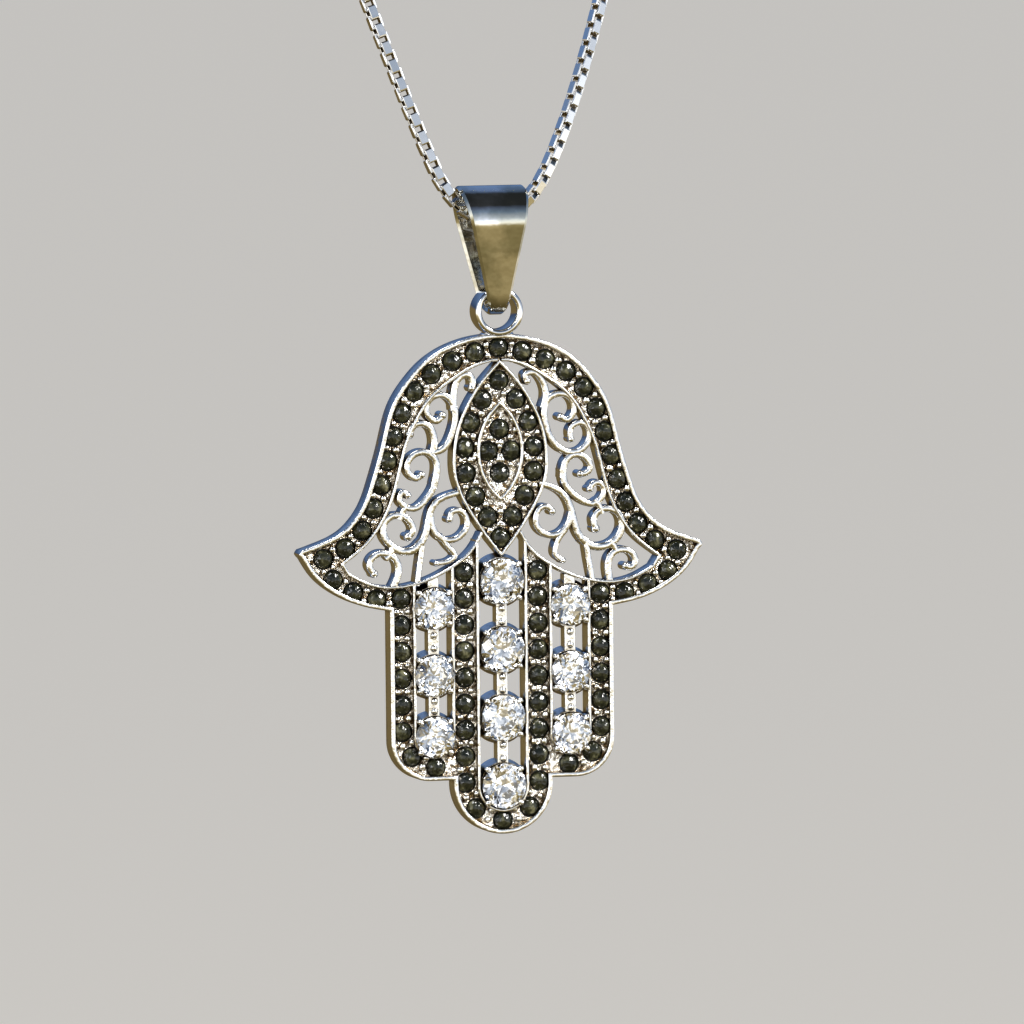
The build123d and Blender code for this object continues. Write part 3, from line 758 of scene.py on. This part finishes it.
def cup(metal, x, y, radius):
    """Cup of a clear stone on its wider base, open through the middle."""
    outer = radius + CUP_EXTRA_R
    base = radius + CUP_BASE_EXTRA_R
    hole = radius * CUP_HOLE_SHARE
    profile = [(hole, CUP_BACK), (base, CUP_BACK), (base, CUP_BASE_FRONT), (outer, CUP_SHOULDER),
               (outer, CUP_FRONT - CUP_BEVEL[1]), (outer - CUP_BEVEL[0], CUP_FRONT),
               (radius + CUP_LIP, CUP_FRONT), (hole, CUP_SEAT)]
    lathe(metal, x, y, profile, 48, closed=True)


def prongs(metal, x, y, radius):
    """Four round-headed prongs that lean over the girdle."""
    reach = radius + CUP_EXTRA_R - PRONG_INSET
    lean = reach - PRONG_LEAN
    for corner in range(4):
        angle = radians(45 + 90 * corner)
        spot = (x + reach * cos(angle), y + reach * sin(angle))
        lathe(metal, *spot, domed(PRONG_R, FLOOR - PRONG_ROOT, PRONG_FRONT, 6), 20)
        over = (x + lean * cos(angle), y + lean * sin(angle))
        lathe(metal, *over, domed(PRONG_TIP_R, GIRDLE_Z + PRONG_INSET,
                                  PRONG_FRONT + PRONG_TIP_RISE, 4), 14)


def bar(metal, x, upper, lower, beads):
    """Rounded bar between two settings with beads on its face."""
    points = line((x, upper), (x, lower))
    flat_sweep(metal, points, False,
               rounded_box(-BAR_WIDTH / 2, BAR_WIDTH / 2, BAR_BACK, BAR_FRONT, BAR_ROUND))
    for bead in range(beads):
        y = upper + (lower - upper) * (bead + 0.5) / beads
        lathe(metal, x, y, domed(BAR_BEAD_R, BAR_FRONT - BEAD_ROOT, BAR_FRONT + BAR_BEAD_RISE), 16)


# Materials

def material(name, color, metallic, roughness):
    made = bpy.data.materials.new(name)
    made.use_nodes = True
    shader = made.node_tree.nodes["Principled BSDF"]
    shader.inputs["Base Color"].default_value = (*color, 1)
    shader.inputs["Metallic"].default_value = metallic
    shader.inputs["Roughness"].default_value = roughness
    return made, made.node_tree, shader


def node(tree, kind, inputs, **settings):
    """New shader node. An input is a value, or a socket to link from."""
    made = tree.nodes.new("ShaderNode" + kind)
    for name, value in settings.items():
        setattr(made, name, value)
    for name, value in inputs.items():
        if isinstance(value, bpy.types.NodeSocket):
            tree.links.new(value, made.inputs[name])
        else:
            made.inputs[name].default_value = value
    return made


def noise(tree, scale, detail=3.0, roughness=0.55):
    """Noise over the piece's own coordinates."""
    place = node(tree, "TexCoord", {}).outputs["Object"]
    return node(tree, "TexNoise", {"Vector": place, "Scale": scale, "Detail": detail,
                                   "Roughness": roughness}).outputs["Fac"]


def ramp(tree, source, stops):
    made = tree.nodes.new("ShaderNodeValToRGB")
    elements = made.color_ramp.elements
    elements[0].position, elements[0].color = stops[0][0], (*stops[0][1], 1)
    elements[1].position, elements[1].color = stops[-1][0], (*stops[-1][1], 1)
    for place, color in stops[1:-1]:
        elements.new(place).color = (*color, 1)
    tree.links.new(source, made.inputs["Fac"])
    return made.outputs["Color"]


def bump(tree, shader, source, strength, distance):
    made = node(tree, "Bump", {"Strength": strength, "Distance": distance, "Height": source})
    tree.links.new(made.outputs["Normal"], shader.inputs["Normal"])


def crevices(tree, reach):
    """Share of open sky round a point within a reach, 0 in the deepest corners."""
    return node(tree, "AmbientOcclusion", {"Distance": reach}, samples=6).outputs["AO"]


def silver(name, color, roughness, grain, depth, spread=0.08, tarnish_shade_reach=None, pits=None,
           stain=(0.12, 0.08, 0.035)):
    """Silver with fine unevenness in its polish, dark tarnish and painted shade in its corners, and
    stained pits.
    """
    made, tree, shader = material(name, color, 1.0, roughness)
    fine = noise(tree, grain)
    low, high = roughness - spread / 2, roughness + spread / 2
    tree.links.new(ramp(tree, fine, [(0.3, (low,) * 3), (0.7, (high,) * 3)]),
                   shader.inputs["Roughness"])
    shade = [c * 0.9 for c in color]
    clean = ramp(tree, noise(tree, grain * 0.3), [(0.35, shade), (0.65, color)])
    if pits:
        half_way = [(a + b) / 2 for a, b in zip(stain, color)]
        clean = ramp(tree, noise(tree, pits, 4.0), [(0.4, stain), (0.48, half_way), (0.54, color)])
    # Dark tarnish and painted shade: the colour turns brown, then near black, the more ambient
    # occlusion finds a corner shut in
    if tarnish_shade_reach:
        tarnish_and_shade = ramp(tree, crevices(tree, tarnish_shade_reach), [(0.3, (0.05, 0.035, 0.015)),
                                                 (0.55, (0.42, 0.33, 0.2)), (0.82, (1, 1, 1))])
        clean = node(tree, "Mix", {"Factor": 1.0, "A": clean, "B": tarnish_and_shade}, data_type="RGBA",
                     blend_type="MULTIPLY").outputs["Result"]
    tree.links.new(clean, shader.inputs["Base Color"])
    bump(tree, shader, fine, 0.5, depth)
    return made


def make_materials():
    found = {}
    found["cast"] = silver("cast_metal", (0.92, 0.91, 0.88), 0.2, grain=1600, depth=0.00012,
                           spread=0.1, tarnish_shade_reach=0.0004)
    found["floor"] = silver("pitted_floor", (0.95, 0.93, 0.88), 0.2, grain=3800, depth=0.0009,
                            spread=0.16, tarnish_shade_reach=0.0004, pits=3000)
    found["mirror"] = silver("mirror_metal", (0.9, 0.89, 0.87), 0.07, grain=500, depth=0.000004,
                             spread=0.05)
    found["bail"] = silver("bail_metal", (0.9, 0.89, 0.87), 0.08, grain=420, depth=0.00009,
                           spread=0.1, pits=350, stain=(0.55, 0.55, 0.49))
    found["chain"] = silver("chain_metal", (0.93, 0.92, 0.9), 0.14, grain=800, depth=0.00001,
                            spread=0.05, tarnish_shade_reach=0.0004)
    # Link edges get a rougher copy of the chain's silver, its colour a touch lighter as a painted
    # highlight
    found["edge"] = silver("chain_edges", (0.95, 0.94, 0.92), 0.38, grain=800, depth=0.00001)
    # Near-black paint for the seat floors and walls round the dark stones: tarnish and painted
    # shade
    recess, tree, shader = material("dark_recess", (0.02, 0.018, 0.013), 0.0, 0.5)
    tree.links.new(ramp(tree, noise(tree, 1500), [(0.4, (0.008, 0.007, 0.005)),
                                                   (0.7, (0.035, 0.03, 0.02))]),
                   shader.inputs["Base Color"])
    found["recess"] = recess
    dark, tree, shader = material("dark_gem", (0.02, 0.021, 0.013), 0.0, 0.07)
    shader.inputs["IOR"].default_value = 1.5
    mottled = noise(tree, 1700)
    tree.links.new(ramp(tree, mottled, [(0.42, (0.006, 0.007, 0.004)),
                                        (0.58, (0.026, 0.027, 0.013)),
                                        (0.72, (0.14, 0.135, 0.075))]),
                   shader.inputs["Base Color"])
    bump(tree, shader, mottled, 0.6, 0.00015)
    found["dark"] = dark
    clear, _, shader = material("clear_gem", (1.0, 1.0, 1.0), 0.0, 0.0)
    shader.inputs["IOR"].default_value = 2.15
    shader.inputs["Transmission Weight"].default_value = 1.0
    found["clear"] = clear
    return found


# Assembly of the hand

def dark_nodes():
    return [name for name in sorted(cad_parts) if name.endswith("_stones")
            or name.startswith("finger_stones")]


def clear_stones():
    """Place and radius of each clear stone, by node name."""
    found = {}
    for name in sorted(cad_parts):
        if name.startswith("clear_stone"):
            low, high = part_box(name)
            middle = (low + high) / 2 / MM
            found[name] = (middle.x, middle.z - RING_CENTRE_HEIGHT, (high.x - low.x) / 2 / MM)
    return found


def build_plate(outline, palm, eye, slots, seats, paints):
    """The channel floors, pierced round the eye and in the fingers."""
    plate = Metal()
    hidden = INNER_RIM / 2
    stepped_plate(plate, grown(outline, -OUTER_RIM / 2),
                  [grown(shape, hidden) for shape in [palm] + slots], grown(eye, -hidden), seats)
    # The plate's second paint, on the seats, is near-black tarnish and painted shade
    floor = plate.object("hand_plate", "hand",
                         [paints["floor"], paints["recess"]])
    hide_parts("frame")


def build_rims(outline, palm, eye, slots, cast):
    rims = Metal()
    band(rims, outline, [], -OUTER_RIM, 0)
    band(rims, palm, [grown(eye, -EYE_OVERLAP)], 0, INNER_RIM)
    band(rims, eye, [], -INNER_RIM, 0)
    band(rims, pointed_oval(*PUPIL), [], -INNER_RIM, 0)
    for slot in slots:
        band(rims, slot, [grown(palm, PALM_OVERLAP), eye], 0, INNER_RIM)
    rims.object("rims", "hand", cast)


def build_settings(stones, cast):
    """Cups and prongs, and the bars between the cups of each finger."""
    settings = Metal()
    columns = {}
    for x, y, radius in stones.values():
        cup(settings, x, y, radius)
        prongs(settings, x, y, radius)
        columns.setdefault(round(x, 1), []).append(y)
    for x, ys in columns.items():
        ys = sorted(ys, reverse=True)
        if x:
            bar(settings, x, ys[0] + TOP_BAR, ys[0] + BAR_GAP, 0)
        for upper, lower in zip(ys, ys[1:]):
            bar(settings, x, upper - BAR_GAP, lower + BAR_GAP, BAR_BEADS)
    settings.object("settings", "hand", cast)


def build_stones(fields, stones, paints, rng):
    for name, places in fields.items():
        gems = Metal()
        for x, y in places:
            tilt = (rng.uniform(-DARK_TILT, DARK_TILT), rng.uniform(-DARK_TILT, DARK_TILT))
            rose_cut(gems, x, y, tilt, rng)
        made = gems.object(name + "_cut", "hand", [paints["dark"]], sharp=0)
        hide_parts(name)
    for name, (x, y, radius) in stones.items():
        gem = Metal()
        brilliant(gem, x, y, radius + GIRDLE_EXTRA, rng)
        made = gem.object(name + "_cut", "hand", [paints["clear"]], sharp=0)
        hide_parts(name)


def build_ring(paints):
    """The ring on top of the hand, with the solder at its foot."""
    ring = Metal()
    profile = rounded_box(RING_HOLE_R, RING_R, MID_DEPTH - RING_DEPTH / 2,
                          MID_DEPTH + RING_DEPTH / 2, RING_ROUND, 5)
    lathe(ring, 0, 0, profile, 72, closed=True)
    foot = []
    for turn in range(-80, 81, 20):
        angle = radians(turn)
        foot.append((RING_FOOT_R * cos(angle), MID_DEPTH + RING_FOOT_DEPTH * sin(angle)))
    lathe(ring, 0, TOP_Y - RING_FOOT_DROP, foot, 32, scale=RING_FOOT_SCALE)
    ring.object("ring", "hand", [paints["mirror"]])


def build_hand(paints):
    outline, palm = hand_outline(), palm_opening()
    eye = closed_half(spline(EYE_EDGE))
    slots = [slot_outline(*slot) for slot in SLOTS]
    fields = {name: island_centres(name) for name in dark_nodes()}
    seats = [place for places in fields.values() for place in places]
    stones = clear_stones()
    cast = [paints["cast"], paints["recess"]]
    rng = random.Random(SEED)
    build_plate(outline, palm, eye, slots, seats, paints)
    build_rims(outline, palm, eye, slots, cast)
    scrolls = Metal()
    for side, strands in ((-1, LEFT_SCROLLS), (1, RIGHT_SCROLLS)):
        for root_width, tip_width, ball, points in strands:
            scroll(scrolls, root_width, tip_width, ball, np.array(points) * (side, -1))
    scrolls.object("scrolls", "hand", cast)
    beads = Metal()
    channel_beads(beads, seats, rng)
    beads.object("channel_beads", "hand", cast)
    build_settings(stones, cast)
    build_stones(fields, stones, paints, rng)
    build_ring(paints)


# Bail, chain and clasp

def bail_path(inset=0.0):
    """Side line of the bail as (depth, height) points: two bends and their tangents."""
    reach = BAIL_BEND_Y - BAIL_FOOT_CENTRE_Y
    top_r, foot_r = BAIL_TOP_R - inset, BAIL_FOOT_R - inset
    lean = degrees(asin((top_r - foot_r) / reach))
    top = arc((MID_DEPTH, BAIL_BEND_Y), top_r, -lean, 180 + lean)
    foot = arc((MID_DEPTH, BAIL_FOOT_CENTRE_Y), foot_r, 180 + lean, 360 - lean)
    points = joined(top, line(top[-1], foot[0]), foot, line(foot[-1], top[0]))
    return points[:-1]


def bail_span(height):
    """Middle of the bail's width at a height, and half that width with its corners rounded."""
    foot = BAIL_FOOT_CENTRE_Y - BAIL_FOOT_R
    share = (height - foot) / (BAIL_TOP_Y - foot)
    middle = BAIL_FOOT_X + (BAIL_TOP_X - BAIL_FOOT_X) * share
    half = BAIL_FOOT_HALF + (BAIL_TOP_HALF - BAIL_FOOT_HALF) * share
    for gap in (height - foot, BAIL_TOP_Y - height):
        if gap < BAIL_CORNER:
            short = BAIL_CORNER - max(gap, 0.0)
            half -= BAIL_CORNER - sqrt(BAIL_CORNER ** 2 - short ** 2)
    return middle, half


def build_bail(paints):
    path = bail_path(BAIL_THICKNESS / 2)
    normals = side_normals(path, True)
    metal = Metal()
    vertices = []
    for point, normal in zip(path, normals):
        middle, half = bail_span(point[1])
        profile = rounded_box(middle - half, middle + half, -BAIL_THICKNESS / 2,
                              BAIL_THICKNESS / 2, BAIL_EDGE, 1)
        for across, out in profile:
            depth, height = point - normal * out
            vertices.append((across, height, depth))
    sides = len(profile)
    metal.add(vertices, tube_faces(len(path), sides, True))
    made = metal.object("bail_strip", "bail", [paints["bail"]])
    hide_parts("bail")


def link_template():
    """One link as a square loop of flat strip, in its own (along, across, through) axes."""
    half = np.array([LINK_LENGTH, LINK_SIDE]) / 2 - LINK_THICKNESS / 2
    corner = LINK_CORNER - LINK_THICKNESS / 2
    loop = []
    for x, y, turn in ((1, 1, 0), (-1, 1, 90), (-1, -1, 180), (1, -1, 270)):
        for step in range(3):
            angle = radians(turn + 45 * step)
            direction = np.array([cos(angle), sin(angle)])
            loop.append((np.array([x, y]) * (half - corner) + corner * direction, direction))
    strip = rounded_box(-LINK_THICKNESS / 2, LINK_THICKNESS / 2, -LINK_STRIP / 2,
                        LINK_STRIP / 2, LINK_ROUND, 1)
    vertices = []
    for centre, outward in loop:
        for out, through in strip:
            spot = centre + outward * out
            vertices.append((spot[0], spot[1], through))
    faces = tube_faces(len(loop), len(strip), True)
    kinds = [0 if number % len(strip) in BROAD_SIDES else 1 for number in range(len(faces))]
    return np.array(vertices), faces, kinds


def chain_line():
    """Points evenly along the smooth route of the chain, one for each link."""
    low = ROUTE[0]
    left = [(-across, back, up) for across, back, up in ROUTE[:0:-1]]
    lowest = [(CHAIN_LOW_X - low[0], low[1], low[2]), (CHAIN_LOW_X + low[0], low[1], low[2])]
    curve = bpy.data.curves.new("chain_route", "CURVE")
    curve.dimensions = "3D"
    curve.resolution_u = 64
    points = left + lowest + ROUTE[1:]
    route = curve.splines.new("NURBS")
    route.points.add(len(points) - 1)
    for point, (across, back, up) in zip(route.points, points):
        point.co = (across, back - NAPE_BACK, up - NAPE_UP, 1)
    route.order_u = 3
    route.use_endpoint_u = True
    holder = bpy.data.objects.new("chain_route", curve)
    mesh = bpy.data.meshes.new_from_object(holder)
    dense = np.array([tuple(v.co) for v in mesh.vertices])
    bpy.data.objects.remove(holder)
    runs = norm(np.diff(dense, axis=0), axis=1)
    reach = np.concatenate([[0], np.cumsum(runs)])
    count = int(reach[-1] / LINK_PITCH)
    places = (np.arange(count) + 0.5) * reach[-1] / count

    def at(shift):
        return np.column_stack([np.interp(places + shift, reach, axis) for axis in dense.T])

    along = at(LINK_LOOK) - at(-LINK_LOOK)
    return at(0.0), along / norm(along, axis=1)[:, None], reach[-1]


def build_chain(paints):
    spots, along, length = chain_line()
    template, faces, kinds = link_template()
    rng = random.Random(SEED)
    middle = len(spots) // 2
    sides = np.zeros_like(along)
    facing = np.array([0.0, -1.0, 0.0])
    for order in (range(middle, len(spots)), range(middle, -1, -1)):
        carried = facing
        for i in order:
            carried = carried - along[i] * (carried @ along[i])
            carried = carried / norm(carried)
            sides[i] = carried
    metal = Metal()
    for i, (spot, direction) in enumerate(zip(spots, along)):
        front = sides[i]
        beside = np.cross(front, direction)
        twist = radians(LEFT_TWIST if spot[0] < 0 else RIGHT_TWIST)
        twist += radians(rng.uniform(-TWIST_PLAY, TWIST_PLAY)) + (pi / 2) * (i % 2)
        across = beside * cos(twist) + front * sin(twist)
        through = front * cos(twist) - beside * sin(twist)
        tip = rng.uniform(-TIP_PLAY, TIP_PLAY)
        turned = direction + across * tip
        vertices = (spot + template[:, :1] * turned + template[:, 1:2] * across
                    + template[:, 2:] * through)
        metal.add(vertices, faces)
    metal.kinds = kinds * len(spots)
    print("chain links", len(spots), "length", round(length, 1))
    made = metal.object("chain_links", "necklace",
                        [paints["chain"], paints["edge"]], world=True, sharp=20)
    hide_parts("chain")


def build_clasp(paints):
    """Barrel with two end collars and grooves, along X at the nape."""
    half = CLASP_LENGTH / 2
    profile = [(r, x - half) for x, r in CLASP_END] + [(r, x) for x, r in CLASP_GROOVE]
    profile += [(r, -x) for r, x in reversed(profile)]
    turned = Metal()
    lathe(turned, 0, 0, profile, 40)
    points = np.concatenate(turned.vertices)
    clasp = Metal()
    clasp.add(np.column_stack([points[:, 2], points[:, 0], points[:, 1]]), turned.faces)
    made = clasp.object("clasp_barrel", "necklace", [paints["mirror"]],
                        world=True, sharp=30)
    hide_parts("clasp")


# Camera, light and stage

CAMERA_AZIMUTH = -14.5
CAMERA_PITCH = 4.0
CAMERA_ROLL = -0.55
CAMERA_DISTANCE = 0.9
PIXELS_PER_MM = 16.02
FRAME_SIDE = 1024
RING_PIXEL = (496.3, 311.0)
WORLD_STRENGTH = 1.35
RIGHT_LIFT = 0.07
LIGHT_TARGET = Vector((0, -0.116, -0.185))
GROUND_SIDE = 60.0
GROUND_HEIGHT = -0.42

# Sky before and behind the hand: share of the way up, and colour
FRONT_SKY = [(0.0, (0.06, 0.045, 0.015)), (0.3, (0.2, 0.155, 0.065)), (0.385, (0.36, 0.29, 0.14)),
             (0.425, (0.9, 0.84, 0.7)), (0.455, (1.25, 1.22, 1.12)), (0.49, (1.15, 1.17, 1.17)),
             (0.52, (1.0, 1.04, 1.08)), (0.555, (0.66, 0.72, 0.82)), (0.6, (0.46, 0.51, 0.59)),
             (0.68, (0.3, 0.35, 0.43)), (0.74, (0.16, 0.22, 0.32)), (0.84, (0.06, 0.08, 0.13)),
             (0.88, (0.02, 0.022, 0.025)), (1.0, (0.02, 0.022, 0.025))]
REAR_SKY = [(0.0, (0.05, 0.035, 0.012)), (0.5, (0.13, 0.095, 0.04)), (0.53, (0.03, 0.05, 0.1)),
            (0.7, (0.1, 0.17, 0.32)), (0.95, (0.09, 0.14, 0.26)), (0.98, (0.02, 0.022, 0.025))]

# Lights: name, azimuth, elevation, distance, size, power, colour
LIGHTS = [("key", 50, 35, 0.8, (0.22, 0.22), 9.0, (1.0, 0.98, 0.94)),
          ("fill", -45, 15, 0.9, (0.3, 0.6), 2.5, (0.95, 0.97, 1.0)),
          ("top", -60, 70, 0.8, (0.3, 0.3), 3.0, (0.95, 0.97, 1.0))]


def camera_axes():
    azimuth = radians(CAMERA_AZIMUTH)
    pitch = radians(CAMERA_PITCH)
    towards = Vector((sin(azimuth) * cos(pitch), -cos(azimuth) * cos(pitch),
                      sin(pitch)))
    right = Vector((0, 0, 1)).cross(towards).normalized()
    up = towards.cross(right)
    roll = radians(CAMERA_ROLL)
    return (right * cos(roll) + up * sin(roll),
            up * cos(roll) - right * sin(roll), towards)


def add_camera():
    right, up, towards = camera_axes()
    ring = Vector((0, (DRAWING_BACK - MID_DEPTH) * MM, RING_CENTRE_HEIGHT * MM))
    middle = FRAME_SIDE / 2
    pixel = MM / PIXELS_PER_MM
    aim = ring + right * (middle - RING_PIXEL[0]) * pixel + up * (RING_PIXEL[1] - middle) * pixel
    data = bpy.data.cameras.new("camera")
    data.sensor_width = 36
    data.lens = 36 * CAMERA_DISTANCE / (FRAME_SIDE * pixel)
    data.clip_start = 0.01
    data.clip_end = 300
    camera = placed("camera", data)
    camera.matrix_world = matrix_of(right, up, towards, aim + towards * CAMERA_DISTANCE)
    bpy.context.scene.camera = camera


def matrix_of(right, up, back, place):
    return Matrix(((right.x, up.x, back.x, place.x), (right.y, up.y, back.y, place.y),
                   (right.z, up.z, back.z, place.z), (0, 0, 0, 1)))


def add_light(name, azimuth, elevation, distance, size, power, color):
    """Soft light aimed at the hand. Azimuth 0 is before it, and positive to the right."""
    a, e = radians(azimuth), radians(elevation)
    towards = Vector((sin(a) * cos(e), -cos(a) * cos(e), sin(e)))
    data = bpy.data.lights.new(name, "AREA")
    data.shape = "ELLIPSE"
    data.size, data.size_y = size
    data.energy = power
    data.color = color
    right = Vector((0, 0, 1)).cross(towards).normalized()
    light = placed(name, data)
    light.matrix_world = matrix_of(right, towards.cross(right), towards,
                                   LIGHT_TARGET + towards * distance)


def add_world():
    """Pale sky before the hand, deeper sky behind it, dark overhead and warm ground below."""
    world = bpy.data.worlds.new("studio")
    bpy.context.scene.world = world
    world.use_nodes = True
    tree = world.node_tree
    background = tree.nodes["Background"]
    place = node(tree, "TexCoord", {}).outputs["Generated"]
    parts = node(tree, "SeparateXYZ", {"Vector": place}).outputs

    def share(source, low, high):
        return node(tree, "MapRange", {"Value": source, "From Min": low,
                                       "From Max": high}).outputs["Result"]

    # The bright band lies lower on the right
    lift = node(tree, "Math", {0: share(parts["X"], 0.3, 1.0), 1: RIGHT_LIFT,
                               2: share(parts["Z"], -1, 1)}, operation="MULTIPLY_ADD")
    height = lift.outputs["Value"]
    mixed = node(tree, "Mix", {"Factor": share(parts["Y"], 0.15, 0.5),
                               "A": ramp(tree, height, FRONT_SKY),
                               "B": ramp(tree, height, REAR_SKY)}, data_type="RGBA")
    tree.links.new(mixed.outputs["Result"], background.inputs["Color"])
    background.inputs["Strength"].default_value = WORLD_STRENGTH


def add_floor():
    mesh = bpy.data.meshes.new("floor")
    corners = [(x * GROUND_SIDE, y * GROUND_SIDE, GROUND_HEIGHT)
               for x, y in ((-1, -1), (1, -1), (1, 1), (-1, 1))]
    mesh.from_pydata(corners, [], [(0, 1, 2, 3)])
    floor = placed("floor", mesh)
    paint, _, shader = material("floor_paint", (0.8, 0.7, 0.55), 0.0, 0.9)
    shader.inputs["Emission Color"].default_value = (1.0, 0.93, 0.82, 1)
    shader.inputs["Emission Strength"].default_value = 0.45
    mesh.materials.append(paint)
    floor.visible_glossy = False
    floor.visible_transmission = False


paints = make_materials()
build_hand(paints)
build_bail(paints)
build_chain(paints)
build_clasp(paints)
add_camera()
add_world()
for light in LIGHTS:
    add_light(*light)
add_floor()
bpy.context.scene.view_settings.view_transform = "Standard"
